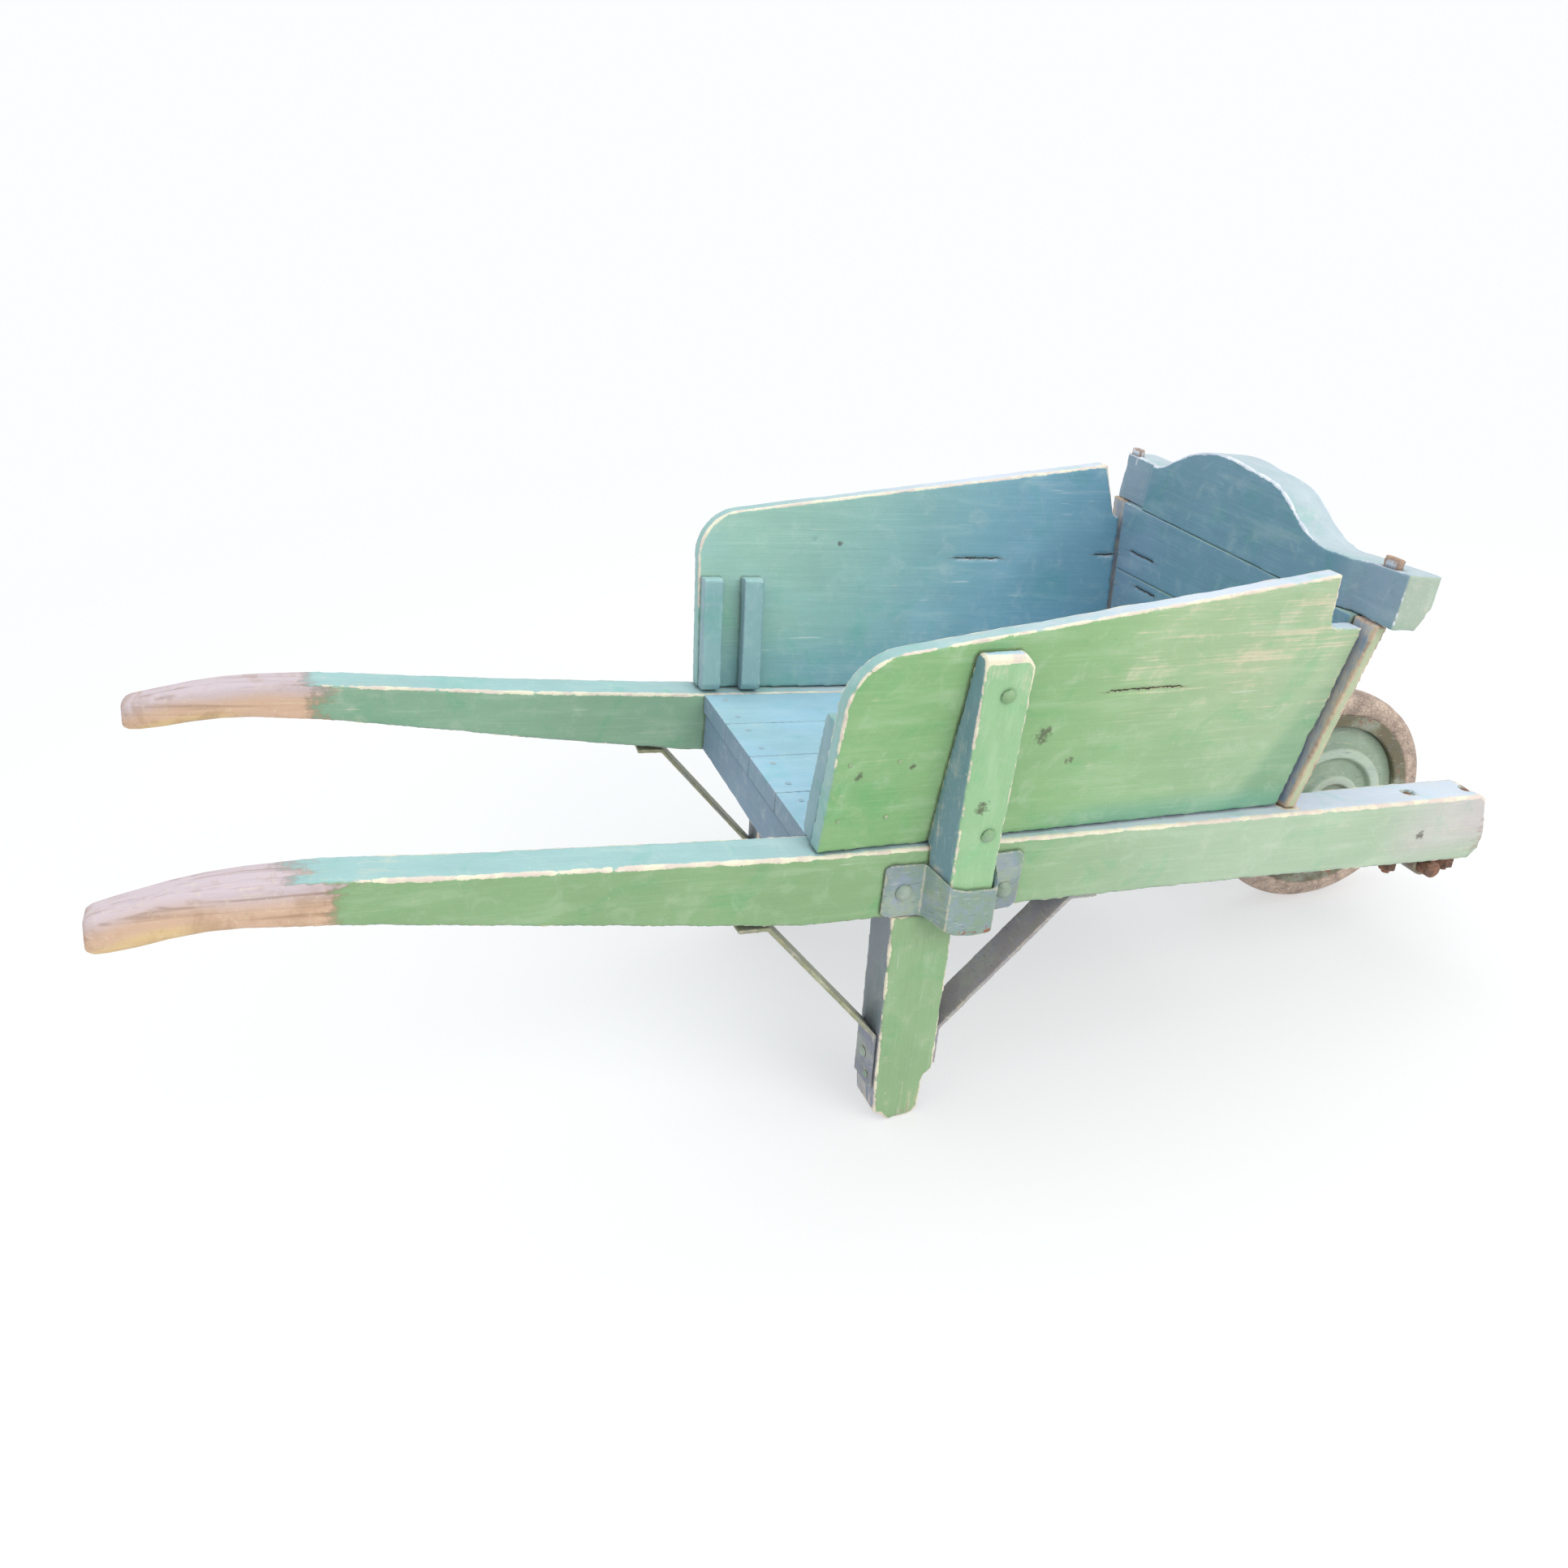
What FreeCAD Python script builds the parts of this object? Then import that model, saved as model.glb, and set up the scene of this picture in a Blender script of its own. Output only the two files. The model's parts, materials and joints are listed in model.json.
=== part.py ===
import FreeCAD, Part
import math
import os
from FreeCAD import Vector, Rotation, Placement

# Antique wooden wheelbarrow with removable side panels and a small pressed-disc wheel.
# The barrow frame lies level while it is drawn: X runs forward towards the wheel, Y to the left, Z up,
# z = 0 is the top of the shafts and x = 0 the rear edge of the floor. At the end everything is tilted
# nose down, so that the wheel and both feet stand on one ground plane. Lengths are in millimetres.

# --- shafts ---
SHAFT_OUTER = 242.2        # half width over the shafts at x = 0
SHAFT_CONVERGENCE = 2.64   # degrees, each shaft turns inward towards the wheel
SHAFT_WIDTH = 49.3
SHAFT_HEIGHT = 80.0        # beside the load box
NOSE_DROP = 4.5            # the nose is this much deeper than the rest
NOSE_X = 852.0
GRIP_X = -480.0            # the square shaft ends and the carved grip begins
GRIP_TOP = 22.0
GRIP_BOTTOM = -25.5
RIGHT_GRIP = 210.0         # the hand-carved grips differ in length
LEFT_GRIP = 238.0
# --- floor and cross rails ---
FLOOR_THICKNESS = 25.0
FLOOR_BOARDS = 4
RAIL_DEPTH = 40.0
RAIL_TENON = 18.0
RAIL_STARTS = {"rear": 2.0, "middle": 265.0, "front": 535.0}
# --- side panels ---
BOARD_FOOT = 236.6         # half width over the side boards' bottom edges at x = 0
BOARD_CONVERGENCE = 4.01   # degrees
BOARD_LEAN = 10.75         # degrees outward
BOARD_THICKNESS = 22.0
BOARD_REAR = -5.0
BOARD_HEIGHT = 222.5       # at x = 0
BOARD_RISE = 0.129         # the top edge climbs towards the headboard
BOARD_CORNER = 58.0
RIGHT_NOTCH = 533.0        # the right board is cut back further than the left one
LEFT_NOTCH = 566.0
PANEL_GAP = 0.35           # play round a removable panel
CLEAT_WIDTH = 26.0
CLEAT_THICKNESS = 24.0
CLEAT_TOP = 143.0
CLEAT_BOTTOM = -3.4
TAILBOARD_SLOT = 27.0
# --- stake pockets ---
POCKET_DEPTH = 30.0
POCKET_IRON = 4.0
POCKET_BOLTS = [(94, -48), (211, -57)]   # along the shaft and below its top
STAKE_BOLTS = [(150, 184), (162, 27)]
# --- headboard ---
HEAD_X = 560.8
HEAD_LEAN = 3.7            # degrees forward
PLANK_THICKNESS = 18.0
PLANKS = 3
BEAM_BOTTOM = 241.0        # in the middle of the barrow
BEAM_TOP = 302.0
BEAM_ROLL = 1.9            # degrees, the beam sits higher on the left
BEAM_DEPTH = 50.0
BEAM_HALF = 257.0
CREST = [(194, 302), (162, 308), (140, 322), (95, 341), (50, 347), (0, 343), (-52, 335), (-92, 312),
         (-122, 298), (-158, 295)]      # the hand-sawn crest, from left to right
TENON_Y = 235.0            # the uprights' tenons in the crest beam
TENON_PROUD = 9.0
# --- legs and braces ---
LEG_REAR = 87.0            # at the shaft; the leg's rear edge runs forward on its way down
LEG_FRONT = 161.5
LEG_REAR_RUN = 0.036
BRACE_IRON = 5.0
BRACE_WIDTH = 38.0
BRACE_FOOT = 303.0         # where the front brace meets the shaft
BRACE_HEEL = -46.0         # where the rear brace meets the shaft
BRACE_LOW = -300.0
BRACE_BEND = -232.0
BRACE_LAP = 34.0           # length that lies under the shaft
# --- wheel and axle ---
WHEEL_X = 790.7
WHEEL_RADIUS = 148.4
AXLE_RADIUS = 10.0
HUB_CLEARANCE = 0.05
HUB_RADIUS = 17.0
HUB_HALF = 45.0
RIM_RADIUS = 104.0
RIM_HALF = 23.0
TYRE_INNER = 121.0
SHEET = 2.2
PIN_GAP = 8.0              # from the hub's end to the cotter pin
CLAMP_REACH = 41.0         # from the axle to each clamp bolt
CLAMP_Y = -182.0
CLAMP_WIDTH = 24.0
HEAD_RECESS = 5.0          # depth of the clamp bolts' heads below the nose
RECESS_RADIUS = 7.0
# --- stance ---
TILT = 8.45                # degrees nose down when the barrow stands

NOSE_END = NOSE_X - 8      # the underside is straight as far as here
BRACE_MIDDLE = SHAFT_WIDTH / 2
FLOOR_FRONT = HEAD_X + PLANK_THICKNESS


def nose_level(x):
    """Underside of the shaft between the headboard and the nose."""
    return -SHAFT_HEIGHT - NOSE_DROP * (x - HEAD_X) / (NOSE_END - HEAD_X)


AXLE_Z = nose_level(WHEEL_X) - AXLE_RADIUS - 0.05


def ground(x):
    """Height of the ground below the level barrow frame at x."""
    t = math.radians(TILT)
    level = -WHEEL_X * math.sin(t) + AXLE_Z * math.cos(t) - WHEEL_RADIUS
    return (level + x * math.sin(t)) / math.cos(t)


def box(x0, x1, y0, y1, z0, z1):
    return Part.makeBox(x1 - x0, y1 - y0, z1 - z0, Vector(x0, y0, z0))


def prism(points, extrusion):
    """Closed polygon of 3-D points pushed along a vector."""
    wire = Part.makePolygon([Vector(*p) for p in points] + [Vector(*points[0])])
    return Part.Face(wire).extrude(Vector(*extrusion))


def side_prism(points, y0, y1):
    """Polygon of (x, z) points between two heights in y."""
    return prism([(x, y0, z) for x, z in points], (0, y1 - y0, 0))


def plan_prism(points, z0, z1):
    """Polygon of (x, y) points between two levels."""
    return prism([(x, y, z0) for x, y in points], (0, 0, z1 - z0))


def rod(radius, start, end):
    axis = Vector(*end) - Vector(*start)
    return Part.makeCylinder(radius, axis.Length, Vector(*start), axis)


def offset_strip(path, thickness):
    """Outline of a bent strip: a path of 2-D points and the same path shifted to its right."""
    shifted = []
    for i, point in enumerate(path):
        before = path[i - 1] if i > 0 else None
        after = path[i + 1] if i < len(path) - 1 else None
        normals = []
        for a, b in ((before, point), (point, after)):
            if a is not None and b is not None:
                length = math.hypot(b[0] - a[0], b[1] - a[1])
                normals.append(((b[1] - a[1]) / length, -(b[0] - a[0]) / length))
        nx = sum(n[0] for n in normals)
        ny = sum(n[1] for n in normals)
        scale = thickness * len(normals) / (nx * nx + ny * ny)
        shifted.append((point[0] + nx * scale, point[1] + ny * scale))
    return list(path) + shifted[::-1]


def moved(shape, placement):
    copy = shape.copy()
    copy.Placement = placement.multiply(copy.Placement)
    return copy


def mirrored(shape):
    return shape.mirror(Vector(0, 0, 0), Vector(0, 1, 0))


def cut_all(shape, tools):
    for tool in tools:
        shape = shape.cut(tool)
    return shape


# A right-hand frame for each slanting member. Local y = 0 is its outer face and y grows inward.
SHAFT_FRAME = Placement(Vector(0, -SHAFT_OUTER, 0), Rotation(Vector(0, 0, 1), SHAFT_CONVERGENCE))
BOARD_FRAME = Placement(Vector(0, -BOARD_FOOT, 0), Rotation(Vector(0, 0, 1), BOARD_CONVERGENCE)).multiply(
    Placement(Vector(0, 0, 0), Rotation(Vector(1, 0, 0), BOARD_LEAN)))
HEAD_FRAME = Placement(Vector(HEAD_X, 0, 0), Rotation(Vector(0, 1, 0), HEAD_LEAN))
BEAM_FRAME = HEAD_FRAME.multiply(Placement(Vector(0, 0, 0), Rotation(Vector(1, 0, 0), BEAM_ROLL)))


def shaft_inner(x):
    """Half width between the shafts' inner faces."""
    slope = math.tan(math.radians(SHAFT_CONVERGENCE))
    return SHAFT_OUTER - slope * x - SHAFT_WIDTH / math.cos(math.radians(SHAFT_CONVERGENCE))


def shaft_body():
    """Square length of the shaft, in its own frame: level beside the box, rising and thinning behind it."""
    top_bend = Part.Arc(Vector(0, 0, 0), Vector(-240, 0, 8.5), Vector(GRIP_X, 0, GRIP_TOP)).toShape()
    low_bend = Part.Arc(Vector(GRIP_X, 0, GRIP_BOTTOM), Vector(-250, 0, -54), Vector(-15, 0, -SHAFT_HEIGHT))
    nose_low = nose_level(NOSE_END)
    corners = [(-15, -SHAFT_HEIGHT), (HEAD_X, -SHAFT_HEIGHT), (NOSE_END, nose_low),
               (NOSE_X + 3, nose_low + 14), (NOSE_X + 4, -50), (NOSE_X - 8, -6), (NOSE_X - 15, 0),
               (0, 0)]
    edges = [low_bend.toShape()]
    for (x0, z0), (x1, z1) in zip(corners, corners[1:]):
        edges.append(Part.makeLine(Vector(x0, 0, z0), Vector(x1, 0, z1)))
    edges.append(top_bend)
    edges.append(Part.makeLine(Vector(GRIP_X, 0, GRIP_TOP), Vector(GRIP_X, 0, GRIP_BOTTOM)))
    face = Part.Face(Part.Wire(Part.__sortEdges__(edges)))
    return face.extrude(Vector(0, SHAFT_WIDTH, 0))


def rounded_section(x, middle, height, width, radius):
    """Rounded rectangle across the shaft at x, centred on the shaft's width."""
    y0 = SHAFT_WIDTH / 2 - width / 2
    y1 = SHAFT_WIDTH / 2 + width / 2
    z0 = middle - height / 2
    z1 = middle + height / 2
    reach = radius * math.sqrt(0.5)
    edges = []
    for cy, cz, turn in ((y0, z0, 180), (y1, z0, 270), (y1, z1, 0), (y0, z1, 90)):
        sy = 1 if cy == y0 else -1
        sz = 1 if cz == z0 else -1
        centre = Vector(x, cy + sy * radius, cz + sz * radius)
        first = math.radians(turn)
        last = math.radians(turn + 90)
        start = centre + Vector(0, math.cos(first), math.sin(first)) * radius
        end = centre + Vector(0, math.cos(last), math.sin(last)) * radius
        middle_point = centre + Vector(0, -sy * reach, -sz * reach)
        edges.append((start, middle_point, end))
    wire = []
    for i, (start, middle_point, end) in enumerate(edges):
        wire.append(Part.Arc(start, middle_point, end).toShape())
        wire.append(Part.makeLine(end, edges[(i + 1) % 4][0]))
    return Part.Wire(wire)


def grip(length):
    """Carved grip: the square shaft becomes round and droops towards its end."""
    stations = [
        # behind the shaft, top, bottom, width, corner radius
        (0, GRIP_TOP, GRIP_BOTTOM, SHAFT_WIDTH, 2.0),
        (40, 22.5, -23.8, 48.3, 5.0),
        (80, 23.0, -22.8, 46.5, 9.0),
        (115, 21.6, -24.6, 45.0, 11.5),
        (150, 16.8, -29.0, 44.0, 12.5),
        (178, 11.0, -34.4, 43.5, 13.0),
        (205, 4.8, -37.6, 42.5, 12.5),
        (218, 1.8, -38.0, 40.0, 11.5),
        (226, -2.0, -35.0, 34.0, 10.0),
    ]
    stretch = length / stations[-1][0]
    sections = []
    for behind, top, bottom, width, radius in stations:
        x = GRIP_X - behind * stretch
        sections.append(rounded_section(x, (top + bottom) / 2, top - bottom, width, radius))
    return Part.makeLoft(sections, True, True)


def leg_front(z):
    """Front edge of the leg, which spreads a little towards the foot."""
    return LEG_FRONT + 0.01 * (-SHAFT_HEIGHT - z)


def leg_rear(z):
    return LEG_REAR + LEG_REAR_RUN * (-SHAFT_HEIGHT - z)


def leg():
    """Leg of the right side with the tenon that enters the shaft; its worn sole lies on the ground."""
    worn = LEG_FRONT - 9
    toe = LEG_FRONT - 16
    heel = LEG_REAR + 29
    outline = [(LEG_REAR, -SHAFT_HEIGHT), (LEG_FRONT, -SHAFT_HEIGHT), (leg_front(-281), -281),
               (worn + 1, -290), (worn, ground(worn) + 9), (toe, ground(toe)), (heel, ground(heel)),
               (heel - 10, ground(0) + 27), (leg_rear(-332) + 2, -332), (leg_rear(-305), -305)]
    blade = side_prism(outline, 0, SHAFT_WIDTH)
    tenon = box(LEG_REAR + 12, LEG_FRONT - 13, 16, 33, -SHAFT_HEIGHT, -25)
    return blade.fuse(tenon).removeSplitter()


def brace(path):
    margin = (SHAFT_WIDTH - BRACE_WIDTH) / 2
    return side_prism(offset_strip(path, BRACE_IRON), margin, margin + BRACE_WIDTH)


def rear_brace():
    return brace([(BRACE_HEEL - BRACE_LAP, -SHAFT_HEIGHT), (BRACE_HEEL, -SHAFT_HEIGHT),
                  (leg_rear(BRACE_BEND), BRACE_BEND), (leg_rear(BRACE_LOW), BRACE_LOW)])


def front_brace():
    low = BRACE_LOW + 22
    return brace([(leg_front(low), low), (leg_front(BRACE_BEND), BRACE_BEND), (BRACE_FOOT, -SHAFT_HEIGHT),
                  (BRACE_FOOT + BRACE_LAP, -SHAFT_HEIGHT)])


def dome(radius, height, base, direction):
    """Low round head: the cap of a sphere standing on a plane."""
    sphere_radius = (radius * radius + height * height) / (2 * height)
    axis = Vector(*direction)
    axis.normalize()
    centre = Vector(*base) - axis * (sphere_radius - height)
    sphere = Part.makeSphere(sphere_radius, centre)
    keep = Part.makeCylinder(radius * 1.5, height * 1.5, Vector(*base), axis)
    return sphere.common(keep)


def bolt(start, direction, length, shank=4.0, head=8.5, height=5.0):
    """Dome-headed bolt: the head stands at start, the shank runs against direction."""
    axis = Vector(*direction)
    axis.normalize()
    base = Vector(*start)
    body = Part.makeCylinder(shank, length, base, axis * -1)
    return body.fuse(dome(head, height, start, direction)).removeSplitter()


def hex_nut(centre, direction, radius=8.0, height=7.0, bore=4.0):
    """Hexagon nut with one face on centre, growing along direction."""
    points = []
    for k in range(6):
        a = math.radians(60 * k)
        points.append(Vector(radius * math.cos(a), radius * math.sin(a), 0))
    nut = Part.Face(Part.makePolygon(points + [points[0]])).extrude(Vector(0, 0, height))
    nut = nut.cut(Part.makeCylinder(bore, height, Vector(0, 0, 0), Vector(0, 0, 1)))
    turn = Rotation(Vector(0, 0, 1), Vector(*direction))
    return moved(nut, Placement(Vector(*centre), turn))


def brace_bolts():
    """Bolts of both braces: one through each end on the shaft, the others through the feet on the leg."""
    pieces = []
    level = -SHAFT_HEIGHT - BRACE_IRON
    for x in (BRACE_HEEL - 20, BRACE_FOOT + 20):
        pieces.append(bolt((x, BRACE_MIDDLE, level), (0, 0, -1), 40 + BRACE_IRON, 3.5, 7.0, 4.0))
    pieces.append(bolt((leg_rear(-264) - BRACE_IRON, BRACE_MIDDLE, -264), (-1, 0, 0), 30, 3.5, 7.0, 4.0))
    pieces.append(bolt((leg_rear(-286) - BRACE_IRON, 14, -286), (-1, 0, 0), 25, 2.5, 5.0, 3.0))
    pieces.append(bolt((leg_front(-256) + BRACE_IRON, BRACE_MIDDLE, -256), (1, 0, 0), 28, 3.5, 7.0, 4.0))
    return pieces


POCKET_PATH = [(68, 0), (117.5, 0), (132, -POCKET_DEPTH), (181.5, -POCKET_DEPTH), (192, 0), (230, 0)]
POCKET_OUTLINE = [(71, -20), (78, -16), (116, -17), (133, -32), (150, -36), (180, -36), (191, -20),
                  (196, -13), (224, -12), (230, -17), (229, -73), (222, -80), (194, -83),
                  (180, -88), (160, -90), (140, -87), (122, -78), (78, -77), (71, -72)]


def stake_pocket():
    """Iron strap bent round the stake's foot, with an ear bolted to the shaft at each end."""
    strip = plan_prism(offset_strip(POCKET_PATH, POCKET_IRON), -95, 0)
    return strip.common(side_prism(POCKET_OUTLINE, -60, 20))


def pocket_bolts():
    pieces = []
    for x, z in POCKET_BOLTS:
        pieces.append(bolt((x, -POCKET_IRON, z), (0, -1, 0), SHAFT_WIDTH + POCKET_IRON + 9, 4.0, 10.0, 6.5))
    return pieces


def pocket_nuts():
    return [hex_nut((x, SHAFT_WIDTH, z), (0, 1, 0)) for x, z in POCKET_BOLTS]


def board_outline(notch):
    """Side board seen from the side: rounded rear top corner and the notch behind the crest beam's end."""
    front_foot = HEAD_X
    reach = BOARD_CORNER
    top_start = BOARD_REAR + reach
    notch_top = notch - 13.5
    points = [Vector(BOARD_REAR, -400, PANEL_GAP), Vector(front_foot, -400, PANEL_GAP),
              Vector(576, -400, 226), Vector(notch, -400, 229),
              Vector(notch_top, -400, BOARD_HEIGHT + BOARD_RISE * notch_top + 1)]
    edges = []
    for a, b in zip(points, points[1:]):
        edges.append(Part.makeLine(a, b))
    corner_end = Vector(top_start, -400, BOARD_HEIGHT + BOARD_RISE * top_start)
    edges.append(Part.makeLine(points[-1], corner_end))
    corner_low = Vector(BOARD_REAR, -400, BOARD_HEIGHT - reach - 4)
    shoulder = Vector(BOARD_REAR + 0.26 * reach, -400, BOARD_HEIGHT - 0.24 * reach)
    edges.append(Part.Arc(corner_end, shoulder, corner_low).toShape())
    edges.append(Part.makeLine(corner_low, points[0]))
    return Part.Face(Part.Wire(edges)).extrude(Vector(0, 800, 0))


def side_board(notch):
    slab = moved(box(-100, 800, 0, BOARD_THICKNESS, -60, 400), BOARD_FRAME)
    board = slab.common(board_outline(notch))
    front = moved(box(-0.5, 200, -400, 400, -50, 500), HEAD_FRAME)
    return board.cut(front)


def cleat(x0):
    """Vertical cleat on the board's inner face; two of them hold the tailboard between them."""
    y0 = BOARD_THICKNESS
    y1 = y0 + CLEAT_THICKNESS
    points = [(y0, CLEAT_BOTTOM), (y1 - 6, CLEAT_BOTTOM), (y1, CLEAT_BOTTOM + 8), (y1, CLEAT_TOP - 4),
              (y1 - 4, CLEAT_TOP), (y0, CLEAT_TOP)]
    block = prism([(x0, y, z) for y, z in points], (CLEAT_WIDTH, 0, 0))
    return moved(block, BOARD_FRAME)


CLEAT_STARTS = [BOARD_REAR + 3, BOARD_REAR + 3 + CLEAT_WIDTH + TAILBOARD_SLOT]


def plan_wire(points, z):
    corners = [Vector(x, y, z) for x, y in points]
    return Part.makePolygon(corners + corners[:1])


def stake(board, bolts):
    """Wedge-shaped stake: its foot fills the pocket, its inner face lies on the leaning board."""
    foot = -74.0
    rim = -22.0
    top = 226.0
    gap = PANEL_GAP
    out = POCKET_DEPTH - gap
    tenon = [(118.2, -gap), (132.3, -out), (180.6, -out), (191.4, -gap)]
    low = [(118.2, 14), *tenon, (191.4, 14)]
    high = [(117, -10), (117, -35), (119.5, -51.5), (173.5, -51.5), (176, -35), (176, -10)]
    upper = Part.makeLoft([plan_wire(low, rim), plan_wire(high, top + 4)], True, True)
    profile = [(-gap, rim), (-60, rim), (-60, top - 18), (-47, top), (-26, top), (14, 40), (14, 0.2 + gap),
               (-gap, 0.2 + gap)]
    upper = upper.common(prism([(100, y, z) for y, z in profile], (120, 0, 0)))
    flank = [(100, rim), (210, rim), (176, top - 16), (164, top + 2), (122, top + 2),
             (117, top - 5), (100, 40)]
    upper = upper.common(side_prism(flank, -80, 40))
    blank = moved(upper.fuse(plan_prism(tenon, foot, rim)).removeSplitter(), SHAFT_FRAME)
    behind = moved(box(0, 400, BOARD_THICKNESS / 2, 100, -30, 400), BOARD_FRAME)
    return cut_all(blank, [board, behind] + bolts)


def stake_bolts():
    """Bolts through stake and board, with their ends flush on the board's inner face."""
    outward = BOARD_FRAME.Rotation.multVec(Vector(0, -1, 0))
    pieces = []
    for x, z in STAKE_BOLTS:
        drop = -POCKET_DEPTH - (z + 22) * 0.09
        start = SHAFT_FRAME.multVec(Vector(x, drop, z))
        through = abs((start - BOARD_FRAME.multVec(Vector(0, BOARD_THICKNESS, 0))).dot(outward))
        pieces.append(bolt(tuple(start), tuple(outward), through - 1.0))
    return pieces


def cleat_nails():
    """Nails driven through the board into the cleats, two for each cleat."""
    pieces = []
    for x0 in CLEAT_STARTS:
        for z in (40, 108):
            x = x0 + CLEAT_WIDTH / 2
            head = Part.makeCylinder(2.4, 1.0, Vector(x, -0.4, z), Vector(0, 1, 0))
            shank = Part.makeCylinder(1.6, 38, Vector(x, 0, z), Vector(0, 1, 0))
            pieces.append(moved(head.fuse(shank).removeSplitter(), BOARD_FRAME))
    return pieces


def plank_half(z):
    """Half width of the headboard planks at a height in the headboard's frame."""
    lean = math.tan(math.radians(BOARD_LEAN))
    inner = BOARD_FOOT - math.tan(math.radians(BOARD_CONVERGENCE)) * HEAD_X
    return inner - BOARD_THICKNESS / math.cos(math.radians(BOARD_LEAN)) - 2.2 + lean * z * 0.975


def above_beam():
    """Everything above the crest beam's underside."""
    return moved(box(-60, 120, -400, 400, BEAM_BOTTOM, 600), BEAM_FRAME)


def plank(index):
    step = BEAM_BOTTOM / PLANKS
    z0 = step * index + 0.1
    z1 = step * (index + 1) + (20 if index == PLANKS - 1 else 0)
    outline = [(-plank_half(z0), z0), (plank_half(z0), z0), (plank_half(z1), z1), (-plank_half(z1), z1)]
    board = moved(prism([(0, y, z) for y, z in outline], (PLANK_THICKNESS, 0, 0)), HEAD_FRAME)
    return cut_all(board, [box(0, NOSE_X, -SHAFT_OUTER, SHAFT_OUTER, -50, 0.1), above_beam()])


def upright(side):
    """Upright, -1 right and 1 left; its tenons enter the shaft and pass through the crest beam."""
    reach = BEAM_BOTTOM + 20
    outline = [(-203.5, 0.1), (-168, 0.1), (-210, reach), (-255, reach)]
    post = prism([(5, y, z) for y, z in outline], (14, 0, 0))
    top = BEAM_TOP + side * TENON_Y * math.sin(math.radians(BEAM_ROLL)) + TENON_PROUD
    upper = box(11, 19, -TENON_Y - 11, -TENON_Y + 11, BEAM_BOTTOM - 20, top)
    lower = box(6, 18, -197, -176, -34, 0.1)
    limit = above_beam()
    if side == 1:
        limit = mirrored(limit)
    post = moved(post, HEAD_FRAME).cut(limit)
    post = post.fuse([moved(upper, HEAD_FRAME), moved(lower, HEAD_FRAME)]).removeSplitter()
    return mirrored(post) if side == 1 else post


def crest_outline():
    """Crest beam seen from the rear: square ends and a raised crown that is steeper on the left."""
    curve = Part.BSplineCurve()
    curve.interpolate([Vector(0, y, z) for y, z in CREST])
    left_end = Vector(0, BEAM_HALF, BEAM_TOP)
    right_end = Vector(0, -BEAM_HALF, BEAM_TOP)
    left_foot = Vector(0, BEAM_HALF, BEAM_BOTTOM)
    right_foot = Vector(0, -BEAM_HALF, BEAM_BOTTOM)
    edges = [curve.toShape()]
    for a, b in ((curve.StartPoint, left_end), (left_end, left_foot), (left_foot, right_foot),
                 (right_foot, right_end), (right_end, curve.EndPoint)):
        edges.append(Part.makeLine(a, b))
    return Part.Face(Part.Wire(Part.__sortEdges__(edges))).extrude(Vector(BEAM_DEPTH, 0, 0))


def crest_beam():
    """Thick top beam of the headboard; its ends stand back a little and carry the uprights' tenons."""
    beam = crest_outline()
    chamfer = side_prism([(BEAM_DEPTH - 12, BEAM_BOTTOM - 1), (BEAM_DEPTH + 1, BEAM_BOTTOM - 1),
                          (BEAM_DEPTH + 1, BEAM_BOTTOM + 28)], -300, 300)
    ends = plan_prism([(-1, 184), (8, 196), (8, 300), (-1, 300)], BEAM_BOTTOM - 1, BEAM_TOP + 1)
    beam = cut_all(beam, [chamfer, ends, mirrored(ends)])
    return moved(beam, BEAM_FRAME)


def headboard_nails():
    """Nails that hold the planks to the uprights, two in each plank end."""
    pieces = []
    step = BEAM_BOTTOM / PLANKS
    for index in range(PLANKS):
        for part in (0.25, 0.75):
            z = step * (index + part)
            for side in (-1, 1):
                y = side * (plank_half(z) - 3.5)
                head = Part.makeCylinder(2.6, 1.0, Vector(-0.4, y, z), Vector(1, 0, 0))
                shank = Part.makeCylinder(1.3, 22, Vector(0, y, z), Vector(1, 0, 0))
                pieces.append(moved(head.fuse(shank).removeSplitter(), HEAD_FRAME))
    return pieces


def cross_rail(x0):
    """Cross rail below the floor boards, tenoned into both shafts."""
    x1 = x0 + RAIL_DEPTH
    low = -SHAFT_HEIGHT + 2
    corners = [(x0, -shaft_inner(x0)), (x1, -shaft_inner(x1)), (x1, shaft_inner(x1)), (x0, shaft_inner(x0))]
    body = plan_prism(corners, low, -FLOOR_THICKNESS)
    reach = shaft_inner(x1) + RAIL_TENON
    tenon = box(x0 + 10, x1 - 8, -reach, reach, low + 12, -FLOOR_THICKNESS - 10)
    return body.fuse(tenon).removeSplitter()


def floor_board(index):
    """One of the long floor boards; they taper together towards the headboard."""
    left = -1 + 2.0 * index / FLOOR_BOARDS
    right = -1 + 2.0 * (index + 1) / FLOOR_BOARDS
    play = 0.05
    points = []
    for x, end in ((0, left), (FLOOR_FRONT, left), (FLOOR_FRONT, right), (0, right)):
        wall = 0.35 if abs(end) > 0.9 else play
        shift = wall if end == left else -wall
        points.append((x, shaft_inner(x) * end + shift))
    return plan_prism(points, -FLOOR_THICKNESS, 0)


def floor_nails():
    pieces = []
    for x0 in RAIL_STARTS.values():
        x = x0 + RAIL_DEPTH / 2
        for index in range(FLOOR_BOARDS):
            for part in (0.22, 0.78):
                y = shaft_inner(x) * (-1 + 2.0 * (index + part) / FLOOR_BOARDS)
                head = Part.makeCylinder(3.5, 1.2, Vector(x, y, -0.8), Vector(0, 0, 1))
                shank = Part.makeCylinder(1.6, 48, Vector(x, y, -48.8), Vector(0, 0, 1))
                pieces.append(head.fuse(shank).removeSplitter())
    return pieces


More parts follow.
